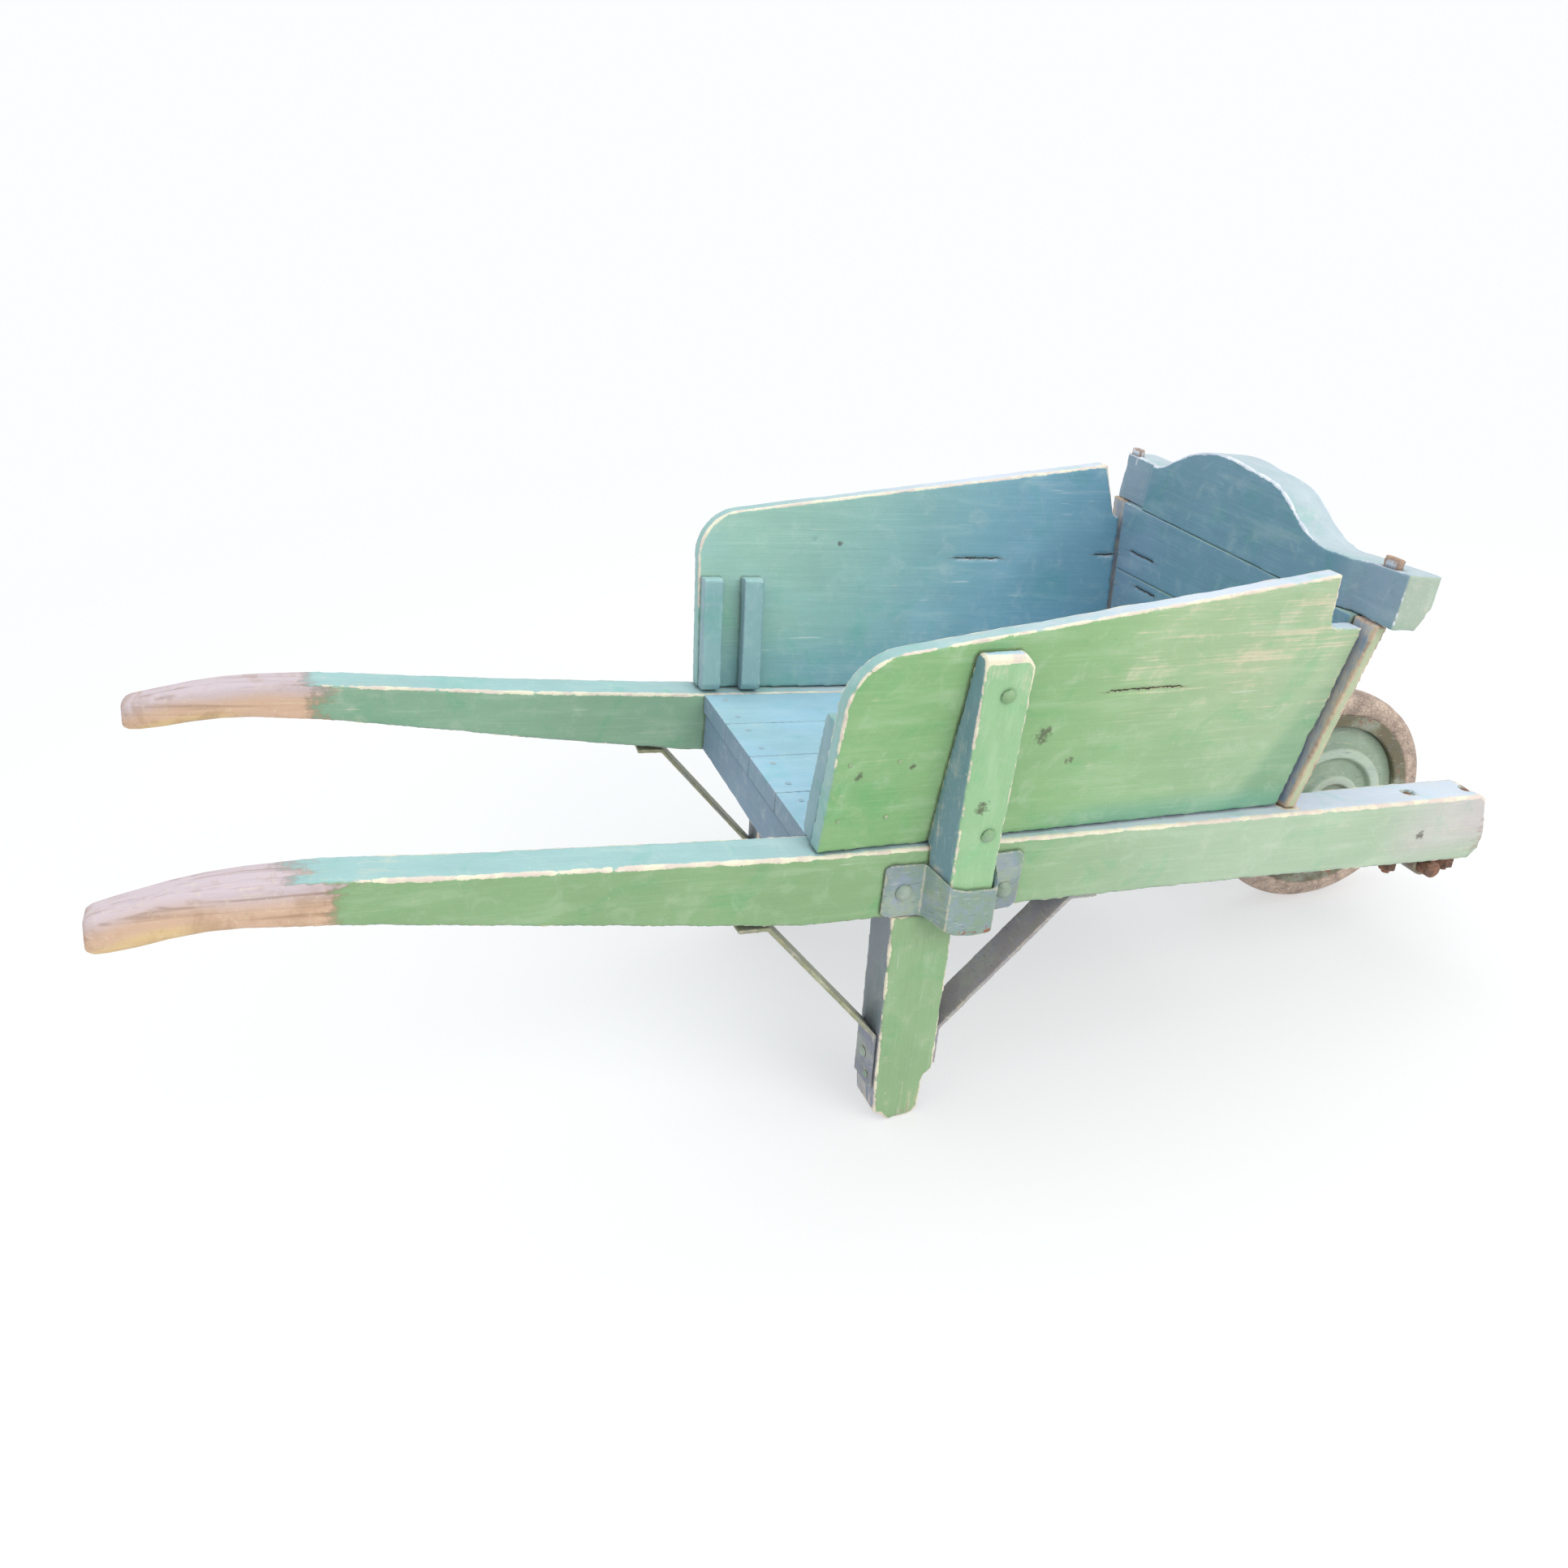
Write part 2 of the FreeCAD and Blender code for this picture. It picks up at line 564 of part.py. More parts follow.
def axle():
    """Fixed iron axle below the noses of the shafts, drilled for a cotter pin on each side of the hub."""
    reach = SHAFT_OUTER - math.tan(math.radians(SHAFT_CONVERGENCE)) * WHEEL_X + 2.5
    bar = rod(AXLE_RADIUS, (WHEEL_X, -reach, AXLE_Z), (WHEEL_X, reach, AXLE_Z))
    return cut_all(bar, axle_pins())


def axle_pins():
    pieces = []
    for y in (-HUB_HALF - PIN_GAP, HUB_HALF + PIN_GAP):
        pieces.append(rod(2.0, (WHEEL_X, y, AXLE_Z - 17), (WHEEL_X, y, AXLE_Z + 17)))
    return pieces


def axle_washers():
    pieces = []
    for y in (-HUB_HALF - 3.5, HUB_HALF + 0.5):
        ring = rod(18, (WHEEL_X, y, AXLE_Z), (WHEEL_X, y + 3, AXLE_Z))
        pieces.append(ring.cut(rod(AXLE_RADIUS + 0.02, (WHEEL_X, y - 1, AXLE_Z), (WHEEL_X, y + 4, AXLE_Z))))
    return pieces


def axle_clamp(nose):
    """Flat iron bent round the axle; both feet lie under the shaft."""
    y0 = CLAMP_Y - CLAMP_WIDTH / 2
    y1 = CLAMP_Y + CLAMP_WIDTH / 2
    outer = AXLE_RADIUS + 0.1 + POCKET_IRON
    inner = AXLE_RADIUS + 0.1
    x0 = WHEEL_X - CLAMP_REACH - 13
    x1 = WHEEL_X + CLAMP_REACH + 12
    feet = side_prism([(x0, nose_level(x0)), (x1, nose_level(x1)), (x1, nose_level(x1) - POCKET_IRON),
                       (x0, nose_level(x0) - POCKET_IRON)], y0, y1)
    bow = rod(outer, (WHEEL_X, y0, AXLE_Z), (WHEEL_X, y1, AXLE_Z))
    bow = bow.fuse(box(WHEEL_X - outer, WHEEL_X + outer, y0, y1, AXLE_Z, -SHAFT_HEIGHT))
    hollow = rod(inner, (WHEEL_X, y0 - 1, AXLE_Z), (WHEEL_X, y1 + 1, AXLE_Z))
    hollow = hollow.fuse(box(WHEEL_X - inner, WHEEL_X + inner, y0 - 1, y1 + 1, AXLE_Z, -SHAFT_HEIGHT + 1))
    return feet.fuse(bow).cut(hollow).cut(nose).removeSplitter()


def clamp_places():
    return [(WHEEL_X - CLAMP_REACH, CLAMP_Y), (WHEEL_X + CLAMP_REACH, CLAMP_Y)]


def clamp_bolts():
    """Upright bolts through the nose, with their heads sunk in the top."""
    pieces = []
    for x, y in clamp_places():
        end = nose_level(x) - POCKET_IRON - 20
        shank = rod(4.5, (x, y, end), (x, y, -HEAD_RECESS))
        pieces.append(shank.fuse(dome(6.0, 3.5, (x, y, -HEAD_RECESS), (0, 0, 1))).removeSplitter())
    return pieces


def clamp_nuts():
    pieces = []
    for x, y in clamp_places():
        level = nose_level(x + 9) - POCKET_IRON
        pieces.append(hex_nut((x, y, level), (0, 0, -1), 10.0, 15.0, 4.5))
    return pieces


def head_recesses():
    return [rod(RECESS_RADIUS, (x, y, -HEAD_RECESS), (x, y, 5)) for x, y in clamp_places()]


def revolved(points):
    """Ring turned round the axle from (radius, y) points."""
    wire = Part.makePolygon([Vector(r, y, 0) for r, y in points + points[:1]])
    ring = Part.Face(wire).revolve(Vector(0, 0, 0), Vector(0, 1, 0), 360)
    return moved(ring, Placement(Vector(WHEEL_X, 0, AXLE_Z), Rotation()))


def wheel_disc():
    """Right pressed disc with two raised rings, from the hub tube to the rim."""
    path = [(HUB_RADIUS, -27), (26, -27), (31, -33), (38, -33), (43, -25), (60, -20), (65, -27), (75, -27),
            (80, -18), (94, -14), (RIM_RADIUS - SHEET, -14), (RIM_RADIUS - SHEET, -3)]
    return revolved(offset_strip(path, SHEET))


def wheel_hub():
    tube = [(AXLE_RADIUS + HUB_CLEARANCE, -HUB_HALF), (HUB_RADIUS, -HUB_HALF), (HUB_RADIUS, HUB_HALF),
            (AXLE_RADIUS + HUB_CLEARANCE, HUB_HALF)]
    return revolved(tube)


def wheel_rim():
    lip = RIM_HALF
    half = [(RIM_RADIUS, lip), (TYRE_INNER, lip), (TYRE_INNER, lip - SHEET),
            (RIM_RADIUS + SHEET, lip - SHEET)]
    return revolved([(r, -y) for r, y in half] + half[::-1])


def wheel_tyre():
    """Solid rubber tyre: its root fills the rim and its tread is rounded."""
    seat = RIM_HALF - SHEET
    half = [(RIM_RADIUS + SHEET, seat), (TYRE_INNER, seat), (TYRE_INNER + 2.5, RIM_HALF + 0.5),
            (133, RIM_HALF + 0.5), (141, RIM_HALF - 3), (146, RIM_HALF - 9),
            (WHEEL_RADIUS, RIM_HALF - 17)]
    return revolved(half + [(r, -y) for r, y in half[::-1]])


def build():
    """Every piece in the level barrow frame, by node name."""
    nodes = {}
    rails = {name: cross_rail(x) for name, x in RAIL_STARTS.items()}
    nails = floor_nails()
    planks = [plank(i) for i in range(PLANKS)]
    plank_nails = headboard_nails()
    post = upright(-1)
    left_post = upright(1)
    beam = crest_beam()
    right_leg = moved(leg(), SHAFT_FRAME)
    nose_bolts = clamp_bolts()
    recesses = head_recesses()
    strap_bolts = [moved(b, SHAFT_FRAME) for b in pocket_bolts()]
    iron_bolts = [moved(b, SHAFT_FRAME) for b in brace_bolts()]

    fittings = nose_bolts + recesses + strap_bolts + iron_bolts + [right_leg, post] + list(rails.values())
    shaft = cut_all(moved(shaft_body().fuse(grip(RIGHT_GRIP)), SHAFT_FRAME), fittings)
    left_shaft = mirrored(cut_all(moved(shaft_body().fuse(grip(LEFT_GRIP)), SHAFT_FRAME), fittings))
    nodes["right_shaft"] = shaft
    nodes["right_leg"] = cut_all(right_leg, iron_bolts)
    nodes["right_front_brace"] = cut_all(moved(front_brace(), SHAFT_FRAME), iron_bolts)
    nodes["right_rear_brace"] = cut_all(moved(rear_brace(), SHAFT_FRAME), iron_bolts)
    nodes["right_brace_bolts"] = Part.makeCompound(iron_bolts)
    nodes["right_stake_pocket"] = cut_all(moved(stake_pocket(), SHAFT_FRAME), strap_bolts)
    nodes["right_pocket_bolts"] = Part.makeCompound(strap_bolts)
    nodes["right_pocket_nuts"] = Part.makeCompound([moved(n, SHAFT_FRAME) for n in pocket_nuts()])
    nodes["right_axle_clamp"] = cut_all(axle_clamp(shaft), nose_bolts)
    nodes["right_clamp_bolts"] = Part.makeCompound(nose_bolts)
    nodes["right_clamp_nuts"] = Part.makeCompound(clamp_nuts())

    board = side_board(RIGHT_NOTCH)
    cleats = [cleat(x) for x in CLEAT_STARTS]
    bolts = stake_bolts()
    fixings = cleat_nails()
    nodes["right_side_board"] = cut_all(board, bolts + fixings)
    nodes["right_stake"] = stake(board, bolts)
    nodes["right_rear_cleat"] = cut_all(cleats[0], fixings)
    nodes["right_front_cleat"] = cut_all(cleats[1], fixings)
    nodes["right_stake_bolts"] = Part.makeCompound(bolts)
    nodes["right_cleat_nails"] = Part.makeCompound(fixings)

    for name in list(nodes):
        nodes[name.replace("right_", "left_")] = mirrored(nodes[name])

    nodes["left_shaft"] = left_shaft
    nodes["left_side_board"] = mirrored(cut_all(side_board(LEFT_NOTCH), bolts + fixings))
    nodes["right_upright"] = cut_all(post, planks + plank_nails)
    nodes["left_upright"] = cut_all(left_post, planks + plank_nails)

    for name, rail in rails.items():
        nodes[name + "_cross_rail"] = cut_all(rail, nails)
    for index in range(FLOOR_BOARDS):
        nodes["floor_board_%d" % (index + 1)] = cut_all(floor_board(index), nails)
    nodes["floor_nails"] = Part.makeCompound(nails)
    for index, name in enumerate(("lower", "middle", "upper")):
        nodes["headboard_%s_plank" % name] = cut_all(planks[index], plank_nails)
    nodes["headboard_nails"] = Part.makeCompound(plank_nails)
    nodes["crest_beam"] = cut_all(beam, [post, left_post])

    nodes["axle"] = axle()
    nodes["axle_washers"] = Part.makeCompound(axle_washers())
    nodes["axle_pins"] = Part.makeCompound(axle_pins())
    nodes["wheel_hub"] = wheel_hub()
    nodes["right_wheel_disc"] = wheel_disc()
    nodes["left_wheel_disc"] = mirrored(wheel_disc())
    nodes["wheel_rim"] = wheel_rim()
    nodes["wheel_tyre"] = wheel_tyre()
    return nodes


def standing(nodes):
    """Tilt the barrow onto its wheel and feet and put the origin at the middle of its footprint."""
    tilt = Placement(Vector(0, 0, 0), Rotation(Vector(0, 1, 0), TILT))
    tilted = {name: moved(shape, tilt) for name, shape in nodes.items()}
    bounds = FreeCAD.BoundBox()
    for shape in tilted.values():
        bounds.add(shape.optimalBoundingBox(False))
    shift = Placement(Vector(-bounds.Center.x, -bounds.Center.y, -bounds.ZMin), Rotation())
    print("shift", shift.Base, "size", bounds.XLength, bounds.YLength, bounds.ZLength)
    return {name: moved(shape, shift) for name, shape in tilted.items()}


os.makedirs("parts", exist_ok=True)
for node, solid in standing(build()).items():
    solid.exportStep("parts/%s.step" % node)
    print(node, len(solid.Solids), solid.isValid(), round(solid.Volume))
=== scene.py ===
import json
import math

import bmesh
import bpy
import numpy as np
from mathutils import Matrix, Vector, noise
from mathutils.bvhtree import BVHTree
from mathutils.kdtree import KDTree

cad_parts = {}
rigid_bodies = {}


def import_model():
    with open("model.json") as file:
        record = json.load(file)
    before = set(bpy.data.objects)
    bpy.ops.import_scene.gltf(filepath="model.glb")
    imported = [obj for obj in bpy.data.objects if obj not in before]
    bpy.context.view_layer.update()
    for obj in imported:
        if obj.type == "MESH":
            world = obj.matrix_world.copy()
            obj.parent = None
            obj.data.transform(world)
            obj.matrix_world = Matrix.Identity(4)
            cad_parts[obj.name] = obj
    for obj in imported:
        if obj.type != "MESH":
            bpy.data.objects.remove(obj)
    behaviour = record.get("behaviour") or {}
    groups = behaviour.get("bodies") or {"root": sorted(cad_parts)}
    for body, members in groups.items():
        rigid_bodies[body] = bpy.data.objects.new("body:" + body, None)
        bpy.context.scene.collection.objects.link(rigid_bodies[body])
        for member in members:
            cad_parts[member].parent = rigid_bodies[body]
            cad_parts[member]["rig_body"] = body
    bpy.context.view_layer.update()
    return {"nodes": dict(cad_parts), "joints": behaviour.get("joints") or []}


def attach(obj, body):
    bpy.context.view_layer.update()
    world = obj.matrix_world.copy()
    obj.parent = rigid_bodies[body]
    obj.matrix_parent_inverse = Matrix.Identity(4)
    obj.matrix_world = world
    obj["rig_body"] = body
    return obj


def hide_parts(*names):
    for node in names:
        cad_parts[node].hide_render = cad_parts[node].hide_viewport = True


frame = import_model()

# Antique wooden wheelbarrow: every imported piece is rebuilt as a weathered mesh with worn arrises, grain,
# dents and cracks, and painted with layered materials: old paint, bare wood, dirt and rust, with painted
# light and shade in the paint's tones and painted shade where pieces meet.
# Lengths are in metres. "Level" coordinates are the barrow's own: x forward from the rear edge of the
# floor, y to the left, z up from the floor, along the tilted shafts.

WOOD_VOXEL = 0.0026
SLIM_VOXEL = 0.0020          # stakes and uprights
CLEAT_VOXEL = 0.0018
FLUSH_VOXEL = 0.0017         # floor and headboard
IRON_VOXEL = 0.0013
BOLT_VOXEL = 0.0009
NAIL_VOXEL = 0.0006
WELD = 1e-5                  # split corners are closer than this
SHARP_ANGLE = math.radians(40)
SHORTEST_ARRIS = 0.0022      # shorter edges of wooden pieces belong to the rims of holes
ARRIS_STEP = 0.002           # between the points kept along an arris
FAR_AWAY = Vector((9, 9, 9))     # stands in for the arrises of a piece that has none
ARRIS_REACH = 0.03           # distances to an arris are kept up to this
CONTACT_REACH = 0.012        # distances to a neighbour are kept up to this
SEAM = 0.0012                # pieces painted over together lie closer than this
CRACK_DEPTH = 0.012          # a crack shows on faces up to this far from its line
CRACK_SINK = 0.0022
TYRE_DENTS = 0.0006
MILLIMETRES = 1000
FAMILY_SEED = 60             # pieces painted over together share their noise
WHEEL_SEED = 80

# --- the barrow's own frame, from the way the side panels slide up ---
JOINTS = {joint["name"]: joint for joint in frame["joints"]}
UP = Vector(JOINTS["right_panel_lift"]["axis"]).normalized()
LEFT = Vector((0, 1, 0))
AHEAD = LEFT.cross(UP)
TURN = np.array([AHEAD, LEFT, UP])
AXLE = Vector(JOINTS["wheel_spin"]["pos_m"])
CONVERGENCE = {"shaft": math.radians(2.64), "side_board": math.radians(4.01)}


def points_of(mesh):
    """Vertices of a mesh as an array."""
    points = np.zeros(len(mesh.vertices) * 3)
    mesh.vertices.foreach_get("co", points)
    return points.reshape(-1, 3)


FLOOR = points_of(frame["nodes"]["floor_board_1"].data) @ TURN.T
ORIGIN = np.array([FLOOR[:, 0].min(), 0.0, FLOOR[:, 2].max()])


def level(points):
    """Level coordinates of points of the row frame."""
    return points @ TURN.T - ORIGIN


def row(x, y, z):
    """Point of the row frame for level coordinates."""
    return AHEAD * (x + ORIGIN[0]) + LEFT * y + UP * (z + ORIGIN[2])


def ramp(value, low, high):
    """0 below low, 1 above high, smooth between."""
    t = np.clip((value - low) / (high - low), 0.0, 1.0)
    return t * t * (3 - 2 * t)


def linear(colour):
    """Scene-linear values for a colour given as 0-255 display values."""
    c = np.array(colour, float) / 255.0
    return np.where(c <= 0.04045, c / 12.92, ((c + 0.055) / 1.055) ** 2.4)


def noise_at(points, scale, seed=0):
    """Perlin noise, -1 to 1, at each point; scale is one number or one for each axis."""
    shifted = points * np.asarray(scale) + (seed * 17.31, seed * 5.77, seed * 11.13)
    return np.array([noise.noise(p) for p in shifted.tolist()])


# ---------------------------------------------------------------- meshes

def welded(node):
    """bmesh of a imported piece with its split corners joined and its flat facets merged."""
    mesh = bmesh.new()
    mesh.from_mesh(frame["nodes"][node].data)
    bmesh.ops.remove_doubles(mesh, verts=mesh.verts, dist=WELD)
    bmesh.ops.dissolve_limit(mesh, angle_limit=math.radians(1.0), verts=mesh.verts, edges=mesh.edges)
    return mesh


def arris_tree(mesh, shortest=0.0, joined=None):
    """KD tree of points along a bmesh's sharp edges, without short edges and without painted-over seams."""
    points = []
    for edge in mesh.edges:
        if edge.calc_length() < shortest or len(edge.link_faces) != 2:
            continue
        if edge.calc_face_angle(0.0) > SHARP_ANGLE:
            a, b = edge.verts[0].co, edge.verts[1].co
            steps = max(1, int((b - a).length / ARRIS_STEP))
            points += [a.lerp(b, i / steps) for i in range(steps + 1)]
    if joined:
        points = [point for point in points if joined.find_nearest(point, SEAM)[0] is None]
    tree = KDTree(max(1, len(points)))
    for i, point in enumerate(points or [FAR_AWAY]):
        tree.insert(point, i)
    tree.balance()
    return tree


def nearest(tree, points):
    """Distance from each point to the tree."""
    return np.array([tree.find(p)[2] for p in points.tolist()])


def voxelled(mesh, size):
    """Even quad mesh over a closed mesh."""
    holder = bpy.data.objects.new("voxelling", mesh)
    bpy.context.scene.collection.objects.link(holder)
    remesh = holder.modifiers.new("remesh", "REMESH")
    remesh.mode = "VOXEL"
    remesh.voxel_size = size
    graph = bpy.context.evaluated_depsgraph_get()
    made = bpy.data.meshes.new_from_object(holder.evaluated_get(graph))
    bpy.data.objects.remove(holder)
    return made


def normals_of(mesh):
    """Vertex normals of a mesh as an array."""
    normals = np.zeros(len(mesh.vertices) * 3)
    mesh.vertex_normals.foreach_get("vector", normals)
    return normals.reshape(-1, 3)


def soften(mesh, weight, rounds):
    """Moves each vertex towards the middle of its neighbours, by its own weight."""
    ends = np.zeros(len(mesh.edges) * 2, int)
    mesh.edges.foreach_get("vertices", ends)
    a, b = ends.reshape(-1, 2).T
    count = np.bincount(ends, minlength=len(mesh.vertices))[:, None]
    points = points_of(mesh)
    for _ in range(rounds):
        total = np.zeros_like(points)
        for axis in range(3):
            total[:, axis] += np.bincount(a, points[b, axis], len(points))
            total[:, axis] += np.bincount(b, points[a, axis], len(points))
        points += weight[:, None] * (total / np.maximum(count, 1) - points)
    mesh.vertices.foreach_set("co", points.ravel())
    mesh.update()


def sink(mesh, depth):
    """Lowers each vertex by its own depth."""
    points = points_of(mesh) - normals_of(mesh) * depth[:, None]
    mesh.vertices.foreach_set("co", points.ravel())
    mesh.update()


def grain_axes(node, kind):
    """Rows: the way the grain runs in a member and two directions across it."""
    if kind in ("leg", "stake", "cleat", "upright"):
        along = UP
    elif kind in ("plank", "crest_beam", "cross_rail"):
        along = LEFT
    else:
        turn = CONVERGENCE.get(kind, 0.0) * (1 if node.startswith("right") else -1)
        along = AHEAD * math.cos(turn) + LEFT * math.sin(turn)
    across = along.cross(LEFT if along is UP else UP).normalized()
    return np.array([along, across, along.cross(across)])


def wear_down(mesh, tree, axes, seed, dents, ridges, chips):
    """Lowers the surface: slow dents, ridges along the grain, and chips out of the arrises."""
    points = points_of(mesh)
    along = points @ axes.T
    arris = nearest(tree, points)
    slow = 0.5 + 0.5 * noise_at(points, 14, seed)
    fine = 0.5 + 0.5 * noise_at(along, (7, 115, 115), seed + 1)
    chip = np.clip(noise_at(points, 42, seed + 2) - 0.12, 0, 1) * ramp(-arris, -0.007, -0.001)
    nick = np.clip(noise_at(along, (25, 95, 95), seed + 3) - 0.35, 0, 1) * ramp(-arris, -0.005, -0.001)
    sink(mesh, dents * slow + ridges * fine + chips * (chip + 1.4 * nick))


def split_places(points, cracks):
    """How far each point lies past the end of its nearest drying crack, and across it; 1 m where none is."""
    along = np.full(len(points), 1.0)
    across = np.full(len(points), 1.0)
    for start, end, side in cracks:
        middle = (start + end) / 2
        way = (end - start).normalized()
        offset = points - np.array(middle)
        past = np.maximum(np.abs(offset @ np.array(way)) - (end - start).length / 2, 0)
        aside = offset @ np.array(side.normalized())
        deep = offset @ np.array(way.cross(side).normalized())
        close = np.hypot(np.hypot(past, aside), deep) < np.hypot(along, across)
        close &= np.abs(deep) < CRACK_DEPTH
        along = np.where(close, past, along)
        across = np.where(close, aside, across)
    return along, across


def store(mesh, name, kind, values):
    """Keeps one value for each vertex, for the materials to read."""
    attribute = mesh.attributes.new(name, kind, "POINT")
    key = {"FLOAT": "value", "FLOAT_VECTOR": "vector", "FLOAT_COLOR": "color"}[kind]
    attribute.data.foreach_set(key, np.asarray(values, float).ravel())


def piece(node, mesh, material):
    """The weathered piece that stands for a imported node, riding on the same body."""
    mesh.materials.clear()
    mesh.materials.append(material)
    mesh.polygons.foreach_set("use_smooth", np.ones(len(mesh.polygons), bool))
    mesh.update()
    made = bpy.data.objects.new("worn_" + node, mesh)
    bpy.context.scene.collection.objects.link(made)
    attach(made, frame["nodes"][node]["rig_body"])
    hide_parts(node)


# ---------------------------------------------------------------- node materials

class Shade:
    """One material, built node by node. Its methods return output sockets."""

    def __init__(self, name):
        self.material = bpy.data.materials.new(name)
        self.material.use_nodes = True
        self.tree = self.material.node_tree
        self.skin = self.tree.nodes["Principled BSDF"]

    def feed(self, socket, value):
        """Links an output socket to an input, or sets the input to a number or a colour."""
        if isinstance(value, bpy.types.NodeSocket):
            self.tree.links.new(value, socket)
        elif hasattr(value, "__len__") and len(value) == 3 and len(socket.default_value) == 4:
            socket.default_value = (*value, 1.0)
        else:
            socket.default_value = value

    def add(self, kind, inputs, **settings):
        made = self.tree.nodes.new("ShaderNode" + kind)
        for key, value in settings.items():
            setattr(made, key, value)
        for key, value in inputs.items():
            self.feed(made.inputs[key], value)
        return made

    def value(self, name):
        return self.add("Attribute", {}, attribute_name=name).outputs["Fac"]

    def vector(self, name):
        return self.add("Attribute", {}, attribute_name=name).outputs["Vector"]

    def colour(self, name):
        return self.add("Attribute", {}, attribute_name=name).outputs["Color"]

    def math(self, operation, a, b=0.0):
        return self.add("Math", {0: a, 1: b}, operation=operation).outputs[0]

    def plus(self, a, b):
        return self.math("ADD", a, b)

    def minus(self, a, b):
        return self.math("SUBTRACT", a, b)

    def times(self, a, b):
        return self.math("MULTIPLY", a, b)

    def about(self, noise, strength):
        """Noise turned into a change around 0."""
        return self.times(self.minus(noise, 0.5), strength)

    def grey(self, light):
        return self.add("CombineColor", {0: light, 1: light, 2: light}).outputs[0]

    def stretched(self, vector, *factors):
        return self.add("VectorMath", {0: vector, 1: factors}, operation="MULTIPLY").outputs[0]

    def noise(self, vector, scale, detail=3.0, rough=0.55, twist=0.0):
        inputs = {"Vector": vector, "Scale": scale, "Detail": detail, "Roughness": rough, "Distortion": twist}
        return self.add("TexNoise", inputs).outputs["Fac"]

    def step(self, value, low, high):
        """0 at low, 1 at high, smooth between."""
        inputs = {"Value": value, "From Min": low, "From Max": high, "To Min": 0.0, "To Max": 1.0}
        return self.add("MapRange", inputs, interpolation_type="SMOOTHSTEP").outputs["Result"]

    def between(self, value, low, high):
        """Straight change of a 0-1 value to low-high."""
        inputs = {"Value": value, "To Min": low, "To Max": high}
        return self.add("MapRange", inputs).outputs["Result"]

    def mix(self, factor, a, b, blend="MIX"):
        made = self.add("Mix", {0: factor, 6: a, 7: b}, data_type="RGBA", blend_type=blend)
        return made.outputs[2]

    def over(self, colour, mask, strength, layer):
        """Colour with a layer laid over it where the mask is 1."""
        return self.mix(self.times(mask, strength), colour, layer)

    def finish(self, colour, roughness, height, distance, specular=0.35):
        self.feed(self.skin.inputs["Base Color"], colour)
        self.feed(self.skin.inputs["Roughness"], roughness)
        self.skin.inputs["Specular IOR Level"].default_value = specular
        bump = self.add("Bump", {"Height": height, "Distance": distance, "Strength": 1.0})
        self.feed(self.skin.inputs["Normal"], bump.outputs["Normal"])
        return self.material


CREAM = linear((224, 213, 176))
CREAM_EDGES = (linear((216, 200, 188)), linear((230, 223, 198)))
LILAC_EDGES = (linear((196, 202, 214)), linear((224, 228, 234)))
BROWN_EDGES = (linear((160, 134, 120)), linear((196, 174, 150)))
BEIGE = linear((212, 197, 172))
TAN_WOOD = linear((196, 160, 120))
LILAC_WOOD = linear((196, 184, 186))
BROWN = linear((120, 92, 70))
DIRT_AND_SHADE = linear((74, 68, 56))
CRACK_DARK = linear((52, 46, 40))
CHALK = linear((222, 226, 222))
PALE_PAINT = linear((236, 238, 226))
GREENER = (0.80, 0.97, 0.90)
RUST = linear((136, 98, 78))
DARK_RUST = linear((92, 70, 60))
LIGHT_RUST = linear((168, 122, 92))
IRON_PALE = linear((168, 176, 160))
IRON_BLUE = linear((138, 148, 178))
IRON_OLIVE = linear((140, 150, 112))
IRON_CHALK = linear((208, 206, 190))
IRON_DARK = linear((84, 84, 76))
RUBBER_DARK = linear((150, 132, 122))
RUBBER_PALE = linear((200, 178, 162))
RUBBER_CRACK = linear((90, 80, 76))
DUST = linear((204, 190, 176))


class WoodMaps:
    """The noises that the layers of painted wood share."""

    def __init__(self, s, edges):
        self.grain = s.vector("grain")
        self.place = s.vector("place")
        self.paint = s.colour("paint")
        self.wear = s.value("wear")
        self.fibres = s.noise(s.stretched(self.grain, 4.0, 130.0, 130.0), 1.0, 5.0, 0.62, 0.4)
        self.threads = s.noise(s.stretched(self.grain, 12.0, 430.0, 430.0), 1.0, 3.0, 0.6, 0.2)
        self.brush = s.noise(s.stretched(self.grain, 9.0, 55.0, 55.0), 1.0, 4.0, 0.6, 0.3)
        self.grit = s.noise(self.place, 420.0, 3.0, 0.65)
        self.blotch = s.noise(self.place, 38.0, 5.0, 0.65, 0.5)
        self.tint = s.noise(self.place, 15.0, 5.0, 0.65, 0.8)
        self.dots = s.noise(self.place, 170.0, 4.0, 0.7)
        self.bare_edge = s.mix(s.step(self.blotch, 0.40, 0.60), *edges)


def old_paint(s, maps):
    """The paint itself: uneven, brushed, chalked and yellowed in patches."""
    light = s.between(s.noise(maps.place, 9.0, 4.0, 0.6), 0.88, 1.14)
    light = s.times(light, s.between(maps.brush, 0.93, 1.07))
    light = s.times(light, s.between(maps.threads, 0.93, 1.07))
    light = s.times(light, s.between(maps.grit, 0.94, 1.06))
    colour = s.mix(1.0, maps.paint, s.grey(light), "MULTIPLY")
    pale = s.mix(0.3, maps.paint, PALE_PAINT)
    colour = s.over(colour, s.step(maps.blotch, 0.50, 0.74), 0.35, pale)
    colour = s.mix(s.step(maps.tint, 0.52, 0.70), colour, s.mix(1.0, colour, GREENER, "MULTIPLY"))
    colour = s.over(colour, s.step(maps.brush, 0.52, 0.76), 0.32, pale)
    return s.over(colour, s.step(maps.threads, 0.58, 0.80), 0.30, pale)


def thin_paint(s, maps, streaks):
    """Where the paint is rubbed thin along the grain."""
    fine = s.times(s.plus(maps.fibres, maps.threads), 0.5)
    thin = s.plus(s.times(maps.wear, 0.30), s.about(fine, streaks))
    thin = s.plus(thin, s.about(maps.blotch, 0.35))
    return s.times(s.step(thin, 0.15, 0.32), 0.72)


